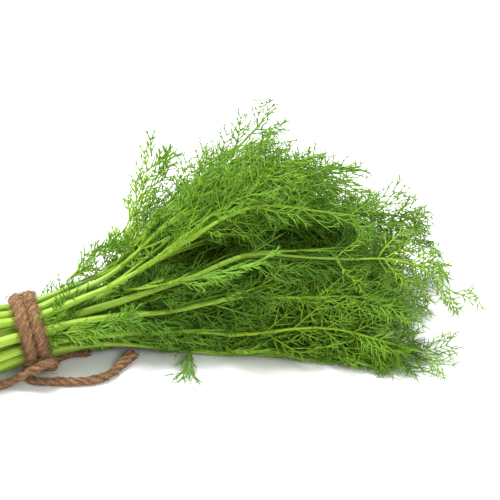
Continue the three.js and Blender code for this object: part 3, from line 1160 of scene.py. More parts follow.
# A loose tuft: long single wisps that keep close together.
WISPS = LeafKind((
    Branching(nodes=(0.22, 0.40, 0.56, 0.70, 0.84), angle=15, reach=0.24, least=6 * MM,
              radius=0.34 * MM, points=5, forward=0.3, ripens=0.1, extra=0.0, scatter=20,
              curl=0.12, gap=3.8 * MM),
    THREADS(nodes=(0.40, 0.68), angle=17, reach=0.30, least=3 * MM, radius=0.27 * MM,
            points=4, scatter=20, ripens=0.12, kept=0.6, curl=0.12, gap=3 * MM),
))

# The open spray at a stalk's tip: whorls of leaves from a few nodes.
SPRAY = LeafKind((
    Branching(nodes=(0.01, 0.34, 0.37, 0.58, 0.60, 0.77, 0.90), angle=58, reach=0.14,
              least=12 * MM, radius=0.4 * MM, points=6, forward=0.6, ripens=0.08,
              extra=0.7, kept=1.0, scatter=32, fall=0.5, gap=1 * MM),
    TWIGS(nodes=(0.30, 0.50, 0.70, 0.88), angle=38, reach=0.12, least=4.6 * MM,
          radius=0.33 * MM, scatter=14, ripens=0.12, gap=3.2 * MM),
    THREADS(nodes=(0.45,), angle=33, reach=0.35, least=2.6 * MM, radius=0.31 * MM,
            ripens=0.16, kept=0.5, gap=2.6 * MM),
))


class Habit(Enum):
    """How the leaves of a sprig stand, by the layer that it takes in the bunch.

    Each value holds the layer's name in the frame, its place from the lowest, the leaves' splay
    in degrees, the arc, in degrees from level, in which they leave the stalk, how far past the
    frond's beginning in the frame the first tip lies, how far short of its end the last one
    does, and the number of small young leaves among the stalks.
    """

    LYING = ("low", 0, 8, (0, 50), 24 * MM, 9 * MM, 1)
    FLANK = ("flank", 1, 9, (-40, 50), 22 * MM, 4 * MM, 3)
    HEART = ("heart", 2, 11, (-50, 60), 20 * MM, 4 * MM, 4)
    CREST = ("crest", 3, 12, (-50, 40), 22 * MM, 4 * MM, 4)
    CROWN = ("crown", 4, 11, (-35, 38), 30 * MM, 3 * MM, 0)

    def __init__(self, layer: str, height: int, splay: float, arc: tuple[float, float],
                 bare: float, short: float, young: int) -> None:
        """Names the parts of a value.

        Args:
            layer: The layer's name.
            height: Its place from the lowest.
            splay: The leaves' splay.
            arc: The arc in which they leave the stalk.
            bare: How far past the frond's beginning the first tip lies.
            short: How far short of its end the last one does.
            young: The number of young leaves.
        """
        self.layer, self.height, self.splay, self.arc = layer, height, splay, arc
        self.bare, self.short, self.young = bare, short, young


@dataclass
class Sprig:
    """One sprig: its stalk and the leaves that it carries.

    Attributes:
        name: Its name in the frame.
        seed: What its chance starts from.
        mound: The mound that it is part of.
        stalk_short: How far before its last tip the built stalk ends.
        rib_depth: The depth of the stalk's ribs, as a share of its radius.
        density: The number of grown leaves on a metre.
        leaf_length: The least and the greatest length of a grown leaf.
        leaf_radius: The radius of a grown leaf's midrib at its base.
        young_length: The least and the greatest length of a young leaf.
        spray_length: The length of the stalk's last stretch, under the spray.
        habit: How its leaves stand.
        line: Its middle line.
        sprayed: Whether its stalk carries the open spray.
        begins: Where its leaves begin along x.
        ends: Where they end.
        far_out: Whether it reaches out to the fan at the mound's end.
        side: How far out it lies, from -1 at the mound's near edge to 1 at the far one.
        plume: Whether its far leaves rise in the plume along the mound's back.
    """

    name: str
    seed: int
    mound: Mound
    stalk_short: float = 50 * MM
    rib_depth: float = 0.09
    density: float = 80
    leaf_length: tuple[float, float] = (50 * MM, 74 * MM)
    leaf_radius: float = 0.72 * MM
    young_length: tuple[float, float] = (16 * MM, 28 * MM)
    spray_length: float = 58 * MM
    habit: Habit = field(init=False)
    line: SprigLine = field(init=False)
    sprayed: bool = field(init=False)
    begins: float = field(init=False)
    ends: float = field(init=False)
    far_out: bool = field(init=False)
    side: float = field(init=False)
    plume: bool = field(init=False)

    # The stalk: the step between its rings, its ribs, how it slims, how uneven it is, its lowest
    # point, the rings of its cut face, each a share of its width and a depth, and its marks.
    STATION = 3 * MM
    RIBS = 10
    SLIM = 0.42
    SLIMS_FROM = 0.21
    SLIMS_OVER = 0.7
    UNEVEN = 0.03
    UNEVEN_LENGTH = 7 * MM
    LOWEST = 0.02 * MM
    CUT = ((0.3, 1.1 * MM), (0.62, 0.5 * MM), (0.88, 0.05 * MM))
    STALK_TONE = 0.5
    STALK_TONES = 0.14
    STALK_TONE_TURN = 2.4
    STALK_STREAK = 0.04
    STALK_AGE = 0.5
    STALK_AGEING = 1.1

    # The grown leaves: how they crowd to the tip, and how their midribs slim, bend and wander.
    LEAF_SEED = 1000
    CROWDING = 0.72
    RIB_POINTS = 9
    RIB_SLIM = 0.6
    SHEATH = 0.7
    SHEATH_SHARE = 0.04
    RIB_CURVE = 1.25
    WANDER = 1.2 * MM
    SPLAYS = (0.5, 1.5)
    FACING_SPREAD = 0.45
    RIB_AGE = 0.2
    RIB_AGEING = 0.3

    # The young leaves, on all but the sprigs of the far side.
    YOUNG_SIDE = 0.2
    YOUNG_TIPS = (-46 * MM, 6 * MM)
    YOUNG_SHARE = 0.62
    YOUNG_SPLAY = 1.6
    YOUNG_TONE = 0.28

    # Over a share of its length, less in the low layers, a sprig along an edge turns most of
    # its outer leaves back and holds the others in.
    EDGE = 0.5
    HELD_LOW = 0.7
    HELD_HIGH = 1.1
    TURNED_BACK = 0.75
    HOLD = 0.5

    # The plume along the back. It leans to the tips, most where the sprig lies far out, and
    # opens from PLUME_FIRST of a leaf's splay at its start by PLUME more at its end. A sprig
    # further in keeps PLUME_LEAST of that or more, and PLUME_CHANCE of it is left to chance.
    NEAR_HALF = -0.2
    FULL = 1.35
    PLUME_LIFT = (5, 28)
    PLUME_LEAN = 1.2
    PLUME_LEAN_INSIDE = 0.48
    PLUME_FIRST = 0.5
    PLUME = 0.9
    PLUME_LEAST = 0.25
    PLUME_CHANCE = 0.2

    # The fan at the mound's end, whose leaves hang over and turn to the near side. Its leaves all
    # get the same painted light, whichever way they face, and no painted shade from the inside.
    FAR_OUT = 114 * MM
    PAST = 4 * MM
    FANS_FROM = 0.45
    FAN_LEAN = 0.3
    FALL = 0.8
    FALL_BEHIND = 0.6
    FAN_PAINTED_LIGHT = 0.5
    DROOP = np.array((5, -2, -5)) * MM

    # A leaf's tone: its mean, the painted light that facing outwards adds, its spread, and the
    # painted shade that the inside of the mound takes.
    TONES = (0.45, 0.28, 0.11)
    TONE_LIMITS = (0.05, 0.95)
    INNER_SHADE = 0.55

    # How steeply a leaf splays to get the most painted light and a leaf's face looks up, more by
    # layer, and how far the face looks across.
    PAINTED_LIGHT_RISE = 0.4
    FACE_RISE = 0.5
    LAYER_RISE = 0.2
    FACE_ACROSS = (-0.3, 0.6)

    # The spray: how far short of the tip it ends, the stretch along which the leaves behind it
    # stay, its rib, and how high and how late the stalk arches under it.
    SPRAY_SHORT = 5 * MM
    SPRAY_POINTS = 12
    SPRAY_KEEPS = 22 * MM
    SPRAY_FACING = np.array([0.1, -0.75, 0.65])
    SPRAY_WIDTH = 0.62
    SPRAY_AGE = 0.18
    SPRAY_TONE = 0.68
    BUMP = 8.5 * MM
    BUMP_LATE = 1.4

    def __post_init__(self) -> None:
        """Finds its habit, its line and its place in the mound."""
        self.habit = next(h for h in Habit if self.name.startswith(h.layer))
        self.line = self.mound.lines[self.name]
        self.sprayed = self.name == self.mound.sprayed
        self.begins = self.line.frond_from
        self.ends = float(self.line.stations[-1] - self.habit.short)
        self.far_out = self.ends > self.FAR_OUT and not self.sprayed
        if self.far_out:
            self.ends += self.PAST
        self.side = self.mound.side(self.name, (self.begins + self.ends) / 2)
        self.plume = self.habit is Habit.CROWN and self.side > self.NEAR_HALF

    def build_stalk(self, finish: StalkFinish) -> None:
        """Builds the ribbed stalk, from its cut face to its last tip.

        Args:
            finish: What it is finished in.
        """
        rng = np.random.default_rng(self.seed)
        start, end = self.line.stations[0], self.line.stations[-1] - self.stalk_short
        stations = np.arange(start, end, self.STATION)
        share = (stations - start) / (end - start)
        points = self.raised(stations)
        along = directions(points)
        side = square_to(np.broadcast_to(UP, points.shape), along)
        other = np.cross(along, side)
        count = 2 * self.RIBS
        turn = turns(count)
        ribbed = 1 + self.rib_depth * np.cos(self.RIBS * turn)
        slim = 1 - self.SLIM * np.clip((share - self.SLIMS_FROM) / self.SLIMS_OVER, 0, 1)
        radii = self.line.radius(stations) * slim
        radii = radii * (1 + self.UNEVEN * np.sin(stations / self.UNEVEN_LENGTH + self.seed))
        spoke = spokes(turn, side, other) * ribbed[:, None]
        rings = points[:, None, :] + radii[:, None, None] * spoke
        rings[..., 2] = np.maximum(rings[..., 2], self.LOWEST)
        cut = [points[0] + (rings[0] - points[0]) * width + along[0] * deep
               for width, deep in self.CUT]
        rings = np.concatenate([np.array(cut), rings])
        tone = self.STALK_TONE + self.STALK_TONES * math.sin(self.STALK_TONE_TURN * self.seed)
        streak = rng.normal(0, self.STALK_STREAK, len(rings))
        age = self.STALK_AGE * share ** self.STALK_AGEING
        marks = np.empty((*rings.shape[:2], 3))
        marks[..., 0] = np.append(np.full(len(cut), CUT_AGE), age)[:, None]
        marks[..., 1] = np.clip(tone + streak, 0, 1)[:, None]
        # 1 on the ridges and 0 in the grooves, where the finish darkens the green: partly tint,
        # partly painted shade.
        marks[..., 2] = 0.5 + 0.5 * np.cos(self.RIBS * turn)
        shell = Shell()
        shell.add(rings, tube_faces(len(rings), count, pointed=False), marks)
        shell.build(f"stem_{self.name}", finish.material, Slot.STALK, [f"stalk_{self.name}"])

    def ways(self, rng: np.random.Generator,
             tips: np.ndarray) -> tuple[np.ndarray, np.ndarray, np.ndarray]:
        """Chooses how each leaf leaves the stalk.

        Args:
            rng: The source of chance.
            tips: Where along x each leaf ends.

        Returns:
            Its angle above level, 1 for the far side or -1 for the near one, and the share of
            its splay that it keeps.
        """
        length = self.ends - self.begins
        low, high = np.radians(self.habit.arc)
        lift = rng.uniform(low, high, len(tips))
        if self.far_out:
            lift = -abs(lift)
        away = np.where(np.arange(len(tips)) % 2 == 0, 1.0, -1.0)
        held = self.HELD_LOW if self.habit.height < Habit.HEART.height else self.HELD_HIGH
        edge = (abs(self.side) > self.EDGE) & (tips < self.begins + held * length)
        turned = rng.random(len(tips)) < self.TURNED_BACK
        away = np.where(edge & (away * self.side > 0) & turned, -away, away)
        hold = np.where(edge & (away * self.side > 0), self.HOLD, 1.0)
        if self.far_out:
            away = np.where(tips > self.begins + self.FANS_FROM * length, -1.0, away)
        return lift, away, hold

    def outwards(self, lift: np.ndarray, away: np.ndarray) -> np.ndarray:
        """The direction in which each leaf splays from the stalk.

        Args:
            lift: Its angle above level.
            away: 1 for the far side, -1 for the near one.

        Returns:
            The directions.
        """
        plumed = self.plume & (away > 0)
        lift = np.where(plumed, lift.clip(*np.radians(self.PLUME_LIFT)), lift)
        lean = self.PLUME_LEAN if self.side > self.EDGE else self.PLUME_LEAN_INSIDE
        lean = np.where(plumed, lean, self.FAN_LEAN if self.far_out else 0)
        return np.stack([lean, away * np.cos(lift), np.sin(lift)], axis=1)

    def splays(self, rng: np.random.Generator, place: np.ndarray, away: np.ndarray,
               hold: np.ndarray) -> np.ndarray:
        """How far each leaf splays, as a share of its length.

        Args:
            rng: The source of chance.
            place: Each grown leaf's place along the stalk, from 0 to 1.
            away: 1 for a leaf on the far side, -1 on the near one.
            hold: The share of its splay that it keeps.

        Returns:
            The splays. The last grown leaf carries the stalk straight on.
        """
        grown = len(place)
        share = rng.uniform(*self.SPLAYS, len(away))
        out = min(max(2 * self.side, self.PLUME_LEAST), 1)
        place = np.append(place, np.zeros(len(away) - grown))
        plume = (self.PLUME_FIRST + self.PLUME * place) * out
        plume = plume * (1 - self.PLUME_CHANCE + self.PLUME_CHANCE * share)
        share = np.where(self.plume & (away > 0), plume, share)
        splay = np.tan(np.radians(self.habit.splay * share)) * hold
        if self.far_out:
            splay = splay * np.where(away < 0, self.FALL, self.FALL_BEHIND)
        splay[grown - 1] = 0
        splay[grown:] *= self.YOUNG_SPLAY
        return splay

    def tones(self, rng: np.random.Generator, out: np.ndarray, grown: int) -> np.ndarray:
        """How light each leaf is: painted light on the outside of the mound, painted shade inside.

        Args:
            rng: The source of chance.
            out: The direction in which each splays.
            grown: The number of grown leaves, which come first.

        Returns:
            The tones.
        """
        height = self.habit.height
        mean, outward_light, spread = self.TONES
        rise = self.PAINTED_LIGHT_RISE + self.LAYER_RISE * height
        # Leaves that splay outwards and up get painted light, and leaves inside the mound get
        # painted shade.
        turned = out @ unit(np.array([0.0, self.side, rise]))
        inner = 1 - max(abs(self.side), height / Habit.CROWN.height)
        if self.far_out:
            # The fan's leaves all get the same painted light and no painted shade.
            turned, inner = self.FAN_PAINTED_LIGHT, 0
        mean = np.full(len(out), mean - self.INNER_SHADE * inner) + outward_light * turned
        mean[grown:] = self.YOUNG_TONE
        return np.clip(rng.normal(mean, spread), *self.TONE_LIMITS)

    def ribs(self, rng: np.random.Generator) -> Strands:
        """Lays the midribs of the sprig's leaves.

        Args:
            rng: The source of chance.

        Returns:
            The midribs, each from the stalk to the leaf's tip.
        """
        begins, ends = self.begins, self.ends
        grown = round((ends - begins) * self.density * (self.FULL if self.plume else 1))
        young = 0 if self.side > self.YOUNG_SIDE else self.habit.young
        count = grown + young
        place = np.linspace(0, 1, grown) ** self.CROWDING
        first = begins + self.habit.bare
        tips = np.append(first + (ends - first) * place,
                         begins + rng.uniform(*self.YOUNG_TIPS, young))
        length = np.append(rng.uniform(*self.leaf_length, grown),
                           rng.uniform(*self.young_length, young))
        steps = np.linspace(0, 1, self.RIB_POINTS)
        x = tips[:, None] - length[:, None] * (1 - steps)
        lift, away, hold = self.ways(rng, tips)
        out = self.outwards(lift, away)
        splay = self.splays(rng, place, away, hold)
        offset = length[:, None] * splay[:, None] * steps ** self.RIB_CURVE
        points = self.line.at(x) + offset[..., None] * out[:, None, :]
        if self.far_out:
            share = ((x - begins) / (ends - begins)).clip(0, 1)
            points = points + self.DROOP * (share ** 2)[..., None]
        bow = np.sin(math.pi * steps)[None, :, None]
        points = points + rng.normal(0, self.WANDER, (count, 1, 3)) * bow
        sheath = 1 + self.SHEATH * np.exp(-steps / self.SHEATH_SHARE)
        profile = self.leaf_radius * (1 - self.RIB_SLIM * steps) * sheath
        profile = profile * np.where(np.arange(count) < grown, 1, self.YOUNG_SHARE)[:, None]
        profile[:, -1] = 0
        near, more = self.FACE_ACROSS
        rise = self.FACE_RISE + self.LAYER_RISE * self.habit.height
        open_to = unit(np.array([0.0, near + more * self.side, rise]))
        facing = unit(open_to + rng.normal(0, self.FACING_SPREAD, out.shape))
        age = np.tile(self.RIB_AGE + self.RIB_AGEING * steps, (count, 1))
        return Strands(points, profile, facing, age, self.tones(rng, out, grown))

    def build_leaves(self, finish: FrondFinish) -> None:
        """Builds the sprig's leaves in one mesh.

        Args:
            finish: What they are finished in.
        """
        rng = np.random.default_rng(self.LEAF_SEED + self.seed)
        shell = Shell()
        kind = AIRY if self.habit is Habit.CROWN else COMBED
        ribs = self.ribs(rng)
        if self.sprayed:
            tips = ribs.points[:, -1]
            behind = (tips - self.line.at(tips[:, 0])) @ self.mound.OUTWARDS < 0
            ribs = ribs.chosen(behind & (tips[:, 0] < self.spray_starts() + self.SPRAY_KEEPS))
            self.add_spray(shell, rng)
        kind.grow(ribs, shell, rng, self.mound)
        shell.build(f"leaves_{self.name}", finish.material, Slot.FROND,
                    [f"frond_{self.name}"], bake_map=True)

    def raised(self, x: np.ndarray) -> np.ndarray:
        """The stalk's middle line, arched over its last stretch where it carries the spray.

        Args:
            x: Where along the stalk.

        Returns:
            The line's points.
        """
        points = self.line.at(x)
        if self.sprayed:
            share = np.clip((x - self.spray_starts()) / self.spray_length, 0, 1)
            points[..., 2] += self.BUMP * np.sin(math.pi * share ** self.BUMP_LATE) ** 2
        return points

    def spray_starts(self) -> float:
        """Where along x the spray at the sprig's tip begins."""
        return float(self.line.stations[-1]) - self.spray_length

    def add_spray(self, shell: Shell, rng: np.random.Generator) -> None:
        """Adds the open spray at the tip of a stalk that lies on the mound.

        Args:
            shell: The mesh.
            rng: The source of chance.
        """
        steps = np.linspace(0, 1, self.SPRAY_POINTS)
        x = self.spray_starts() + (self.spray_length - self.SPRAY_SHORT) * steps
        points = self.raised(x)
        radii = np.append(self.line.radius(x[:-1]) * self.SPRAY_WIDTH, 0)
        age = self.SPRAY_AGE + self.RIB_AGEING * steps
        rib = Strands(points[None], radii[None], unit(self.SPRAY_FACING)[None], age[None],
                      np.array([self.SPRAY_TONE]))
        SPRAY.grow(rib, shell, rng, self.mound, self.name)


@dataclass
class SideLeaf:
    """A small leaf on the outside of the bunch, read from its blade in the frame.

    Attributes:
        name: Its name in the frame.
        seed: What its chance starts from.
        radius: The radius of its midribs at their base.
    """

    name: str
    seed: int
    radius: float = 0.5 * MM

    # By name: the kind of the leaf, the places of its midribs' tips across it, in millimetres,
    # and how far its start and its tip are moved, in millimetres.
    KINDS = {"far_low": AIRY, "tuft": WISPS}
    PARTS = {"far_low": (-5, 0, 5), "pale": (-6, 1), "tuft": (-3, 2)}
    MOVED = {"pale": ((4, 0, 0), (-6, 0, -3)), "far_crown": ((0, 0, 0), (-9, -8, -9)),
             "near_crown": ((0, 2, -4), (0, 0, 0)), "tuft": ((13, 5, 0), (-6, -3, -1))}
    IN_PLACE = ((0, 0, 0), (0, 0, 0))

    # The midribs, and the age and tone of the pale leaf and of the others.
    LEAF_SEED = 5000
    BASE_CORNERS = 4
    BLADE_PARTS = 5
    RIB_POINTS = 9
    RIB_SLIM = 0.6
    PARTING = 1.3
    FACING_SPREAD = 0.2
    PALE = "pale"
    PALE_AGE = 0.19
    PALE_TONE = 0.72
    AGE = 0.27
    AGEING = 0.3
    TONE = 0.42

    def blade_line(self) -> np.ndarray:
        """Finds the line down the middle of its blade, moved into place.

        Returns:
            The line's points, at even steps.
        """
        corners = SprigLine.corners(f"leaf_{self.name}")
        bins = np.array_split(corners[self.BASE_CORNERS:-1], self.BLADE_PARTS)
        start = corners[:self.BASE_CORNERS].mean(0)
        line = np.vstack([start, *[part.mean(0) for part in bins[:-1]], corners[-1]])
        steps = np.linspace(0, 1, self.RIB_POINTS)
        far = distances(line)
        points = read_along(steps * far[-1], far, line)
        ends = np.array(self.MOVED.get(self.name, self.IN_PLACE)) * MM
        return points + ends[0] * (1 - steps)[:, None] + ends[1] * steps[:, None]

    def build(self, finish: FrondFinish, mound: Mound) -> None:
        """Builds the leaf.

        Args:
            finish: What it is finished in.
            mound: The mound that it lies on.
        """
        rng = np.random.default_rng(self.LEAF_SEED + self.seed)
        points = self.blade_line()
        steps = np.linspace(0, 1, self.RIB_POINTS)
        radii = self.radius * (1 - self.RIB_SLIM * steps)
        radii[-1] = 0
        along = unit(points[-1] - points[0])
        facing = square_to(UP + rng.normal(0, self.FACING_SPREAD, 3), along)
        parts = np.array(self.PARTS.get(self.name, (0,))) * MM
        across = np.cross(facing, along)
        moved = parts[:, None, None] * (steps ** self.PARTING)[:, None] * across
        pale = self.name == self.PALE
        age = (self.PALE_AGE if pale else self.AGE) + self.AGEING * steps
        count = len(parts)
        ribs = Strands(points + moved, np.tile(radii, (count, 1)), np.tile(facing, (count, 1)),
                       np.tile(age, (count, 1)),
                       np.full(count, self.PALE_TONE if pale else self.TONE))
        shell = Shell()
        kind = self.KINDS.get(self.name, SMALL)
        kind.grow(ribs, shell, rng, replace(mound, edged=False))
        shell.build(f"sprout_{self.name}", finish.material, Slot.FROND, [f"leaf_{self.name}"],
                    bake_map=True)


# ---------------------------------------------------------------- the twine


def carried_frames(line: np.ndarray, start: np.ndarray) -> tuple[np.ndarray, np.ndarray]:
    """Two directions square to a line, carried along it without turning round it.

    Args:
        line: The line's points.
        start: About where the first direction points at the start.

    Returns:
        The first and the second direction at each point.
    """
    along = directions(line)
    first = np.empty_like(line)
    current = start
    for place, heading in enumerate(along):
        current = square_to(current, heading)
        first[place] = current
    return first, np.cross(along, first)


ROUTE_PARTS = 12


def evenly(route: np.ndarray, step: float) -> np.ndarray:
    """A smooth line through a route's points.

    Args:
        route: The points.
        step: About how far apart the line's points are.

    Returns:
        The line's points.
    """
    ends = np.vstack([2 * route[0] - route[1], route, 2 * route[-1] - route[-2]])
    pieces = []
    for a, b, c, d in zip(ends, ends[1:], ends[2:], ends[3:]):
        t = np.linspace(0, 1, ROUTE_PARTS, endpoint=False)[:, None]
        pieces.append(0.5 * (2 * b + (c - a) * t + (2 * a - 5 * b + 4 * c - d) * t ** 2
                             + (3 * b - a - 3 * c + d) * t ** 3))
    fine = np.vstack([*pieces, route[-1:]])
    far = distances(fine)
    return read_along(np.linspace(0, far[-1], int(far[-1] / step) + 1), far, fine)


@dataclass
class Strand:
    """A length of jute twine, of three plies laid round each other.

    Attributes:
        line: The points down its middle.
        across: About the direction of its width at its start.
        width: Its width.
        through: Its thickness.
        seed: What its chance starts from.
        flare: How much wider its last stretch opens, where it was cut.
        ply: A ply's radius in shares of the strand's; the smaller, the plainer the plies.
        light: How much lighter it is painted than the loops: painted light on the free ends.
        lay: The length over which a ply goes round once.
        fray: The length over which the cut end opens.
        first: The direction of its width at each of its points.
        second: The direction of its thickness there.
        far: How far along it each of its points is.
    """

    line: np.ndarray
    across: np.ndarray
    width: float
    through: float
    seed: int
    flare: float = 0.0
    ply: float = 0.47
    light: float = 0.0
    lay: float = 13 * MM
    fray: float = 14 * MM
    first: np.ndarray = field(init=False)
    second: np.ndarray = field(init=False)
    far: np.ndarray = field(init=False)

    # The plies, the ridges and lumps of each, and its tone.
    FIRST_SEED = 7000
    PLIES = 3
    SIDES = 14
    STEP = 0.7 * MM
    UNEVEN = 0.04
    UNEVEN_STEPS = 9
    RIDGES = 5
    RIDGE_TURNS = 9
    RIDGE = 0.07
    LUMP = 0.025
    # How far out from the strand's core the painted shade between the plies reaches, as a share of
    # its width.
    VALLEY_SHADE = 0.42
    LOWEST = 0.03 * MM
    TONE = 0.42
    TONE_SPREAD = 0.09
    # Painted highlight on a ply's ridges, and painted shade between them.
    RIDGE_HIGHLIGHT = 0.2

    # How much less the plies open than the strand at its cut end, and how far out no fibre
    # passes, in shares of the strand's half width.
    PLY_OPENING = 0.8
    REACH = 2.45

    # The fibres: the length and the lift of those that lie on the plies and of those that
    # stand away, then the form of both.
    LYING = (5 * MM, 11 * MM)
    LYING_LIFT = 0.07
    STANDING = (2.5 * MM, 7 * MM)
    STANDING_LIFT = 0.75
    FIBRE_POINTS = 6
    FIBRE_RADII = (0.07 * MM, 0.14 * MM)
    FIBRE_TONES = (0.55, 1.0)
    FIBRE_TURN = 0.8
    FIBRE_RUN = 0.9
    FIBRE_RISE = 0.9
    FIBRE_BEND = 1.6
    FIBRE_ROOT = 0.99
    FIBRE_TILT = 0.01
    FIBRE_BED = 0.4 * MM
    FIBRE_LEAST = 0.12 * MM

    # The loose fibres at the cut end: how many, how far back they start, how far past it they go.
    LOOSE = 150
    LOOSE_FROM = 3 * MM
    LOOSE_PAST = (0.2 * MM, 2.2 * MM)
    LOOSE_SPREAD = 0.25 * MM
    LOOSE_WIDTHS = (0.9, 1.04)
    LOOSE_RADII = (0.1 * MM, 0.2 * MM)
    LOOSE_PROFILE = (1, 1, 1, 0.8, 0)
    LOOSE_TONES = (0.5, 1.0)

    def __post_init__(self) -> None:
        """Works out the line's frames and distances."""
        self.first, self.second = carried_frames(self.line, self.across)
        self.far = distances(self.line)

    def opening(self, far: np.ndarray) -> np.ndarray:
        """How much wider the strand is at a distance along it."""
        share = np.clip((far - self.far[-1] + self.fray) / self.fray, 0, 1)
        return 1 + self.flare * share

    def surface(self, far: np.ndarray, turn: np.ndarray, scale: np.ndarray) -> np.ndarray:
        """Points round the strand.

        Args:
            far: Distances along it.
            turn: Angles round it.
            scale: How far out, in shares of its half width and thickness.

        Returns:
            The points.
        """
        wide = (self.width / 2 * self.opening(far) * np.cos(turn) * scale)[..., None]
        deep = (self.through / 2 * np.sin(turn) * scale)[..., None]
        middle, first, second = (read_along(far, self.far, values)
                                 for values in (self.line, self.first, self.second))
        return middle + wide * first + deep * second

    def add_to(self, shell: Shell, fibres: int, strays: int) -> None:
        """Adds the strand to a mesh.

        Args:
            shell: The mesh.
            fibres: The number of fibres that lie on its surface.
            strays: The number of fibres that stand away from it.
        """
        rng = np.random.default_rng(self.FIRST_SEED + self.seed)
        for ply in range(self.PLIES):
            self.add_ply(shell, rng, ply)
        self.add_fibres(shell, rng, fibres, self.LYING_LIFT, self.LYING)
        self.add_fibres(shell, rng, strays, self.STANDING_LIFT, self.STANDING)
        if self.flare:
            self.add_fray(shell, rng)

    def add_ply(self, shell: Shell, rng: np.random.Generator, ply: int) -> None:
        """Adds one ply, laid round the strand's middle.

        Args:
            shell: The mesh.
            rng: The source of chance.
            ply: Which of the plies.
        """
        far = np.arange(0, self.far[-1], self.STEP)
        around = turns(self.SIDES)
        lay = 2 * math.pi * (far / self.lay + ply / self.PLIES)
        chance = rng.normal(0, 1, len(far) + self.UNEVEN_STEPS - 1)
        window = np.ones(self.UNEVEN_STEPS) / self.UNEVEN_STEPS
        uneven = np.convolve(chance, window, mode="valid")
        middle = self.surface(far, lay, np.full_like(far, 1 - self.ply))
        first, second = carried_frames(middle, self.across)
        thick = (self.width + self.through) / 4 * (self.ply + self.UNEVEN * uneven)
        turned = self.RIDGES * around[None, :] - self.RIDGE_TURNS * lay[:, None]
        ridges = self.RIDGE * np.cos(turned)
        lumps = rng.normal(0, self.LUMP, (len(far), self.SIDES))
        spread = (thick * self.opening(far) ** self.PLY_OPENING)[:, None] * (1 + ridges + lumps)
        rings = middle[:, None] + spread[..., None] * spokes(around, first, second)
        rings[..., 2] = np.maximum(rings[..., 2], self.LOWEST)
        core = self.surface(far, lay, np.zeros_like(far))
        gap = np.linalg.norm(rings - core[:, None], axis=2)
        marks = np.empty((*rings.shape[:2], 3))
        marks[..., 0] = ply / self.PLIES
        # The tone: painted highlight on the ridges and painted shade between them.
        marks[..., 1] = np.clip(self.TONE + self.light + self.RIDGE_HIGHLIGHT * ridges / self.RIDGE
                                + rng.normal(0, self.TONE_SPREAD, rings.shape[:2]), 0, 1)
        # Painted shade in the valleys between the plies.
        marks[..., 2] = np.clip(gap / (self.VALLEY_SHADE * self.width), 0, 1) ** 2
        shell.add(rings, tube_faces(len(rings), self.SIDES, pointed=False), marks)

    def lay_fibres(self, shell: Shell, points: np.ndarray, radii: np.ndarray,
                   tone: np.ndarray) -> None:
        """Adds fibres to a mesh, with none below the surface.

        Args:
            shell: The mesh.
            points: The fibres' points.
            radii: Their radius at each point.
            tone: How light each is.
        """
        facing = np.tile(UP + self.FIBRE_TILT, (len(points), 1))
        points = settle(points, self.FIBRE_BED, self.FIBRE_LEAST)
        fibres = Strands(points, radii, facing, np.zeros(radii.shape), tone)
        shell.add_strands(fibres, LeafKind.THREAD_SIDES)

    def add_fibres(self, shell: Shell, rng: np.random.Generator, count: int, lift: float,
                   reach: tuple[float, float]) -> None:
        """Adds fine fibres that follow the lay of the plies.

        Args:
            shell: The mesh.
            rng: The source of chance.
            count: The number of fibres.
            lift: How far their ends rise, in shares of the strand's half thickness.
            reach: Their least and greatest length.
        """
        steps = np.linspace(0, 1, self.FIBRE_POINTS)
        start = rng.uniform(0, self.far[-1], count)[:, None]
        length = rng.uniform(*reach, count)[:, None]
        way = rng.choice([-1.0, 1.0], count)[:, None]
        far = np.clip(start + way * length * steps * self.FIBRE_RUN, 0, self.far[-1])
        turn = rng.uniform(0, 2 * math.pi, count)[:, None] + 2 * math.pi * (far - start) / self.lay
        turn = turn + rng.normal(0, self.FIBRE_TURN, (count, 1)) * steps
        most = np.clip(self.REACH - self.opening(far), 0, self.FIBRE_RISE)
        rise = np.abs(rng.normal(0, lift, (count, 1))) * steps ** self.FIBRE_BEND
        out = self.FIBRE_ROOT + np.minimum(rise, most) / self.opening(far)
        points = self.surface(far, turn, out)
        profile = np.append(np.ones(self.FIBRE_POINTS - 1), 0)
        radii = rng.uniform(*self.FIBRE_RADII, count)[:, None] * profile
        self.lay_fibres(shell, points, radii, rng.uniform(*self.FIBRE_TONES, count))

    def add_fray(self, shell: Shell, rng: np.random.Generator) -> None:
        """Adds the tuft of loose fibres at the cut end.

        Args:
            shell: The mesh.
            rng: The source of chance.
        """
        count = self.LOOSE
        turn = rng.uniform(0, 2 * math.pi, count)
        scale = np.sqrt(rng.uniform(0, 1, count))
        along = directions(self.line)[-1]
        inner, outer = self.LOOSE_WIDTHS
        last = np.full(count, self.far[-1])
        root = self.surface(last - self.LOOSE_FROM, turn, scale * inner)
        end = self.surface(last, turn, scale * outer)
        end = end + along * rng.uniform(*self.LOOSE_PAST, count)[:, None]
        end = end + rng.normal(0, self.LOOSE_SPREAD, end.shape)
        profile = np.array(self.LOOSE_PROFILE)
        steps = np.linspace(0, 1, len(profile))
        points = root[:, None] + (end - root)[:, None] * steps[:, None]
        radii = rng.uniform(*self.LOOSE_RADII, count)[:, None] * profile
        self.lay_fibres(shell, points, radii, rng.uniform(*self.LOOSE_TONES, count))


def tie_middle() -> np.ndarray:
    """The place on the surface under the middle of the two loops of twine."""
    boxes = np.array([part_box(f"twine_loop_{side}") for side in ("left", "right")])
    return boxes.reshape(-1, 3).mean(0) * (1, 1, 0)


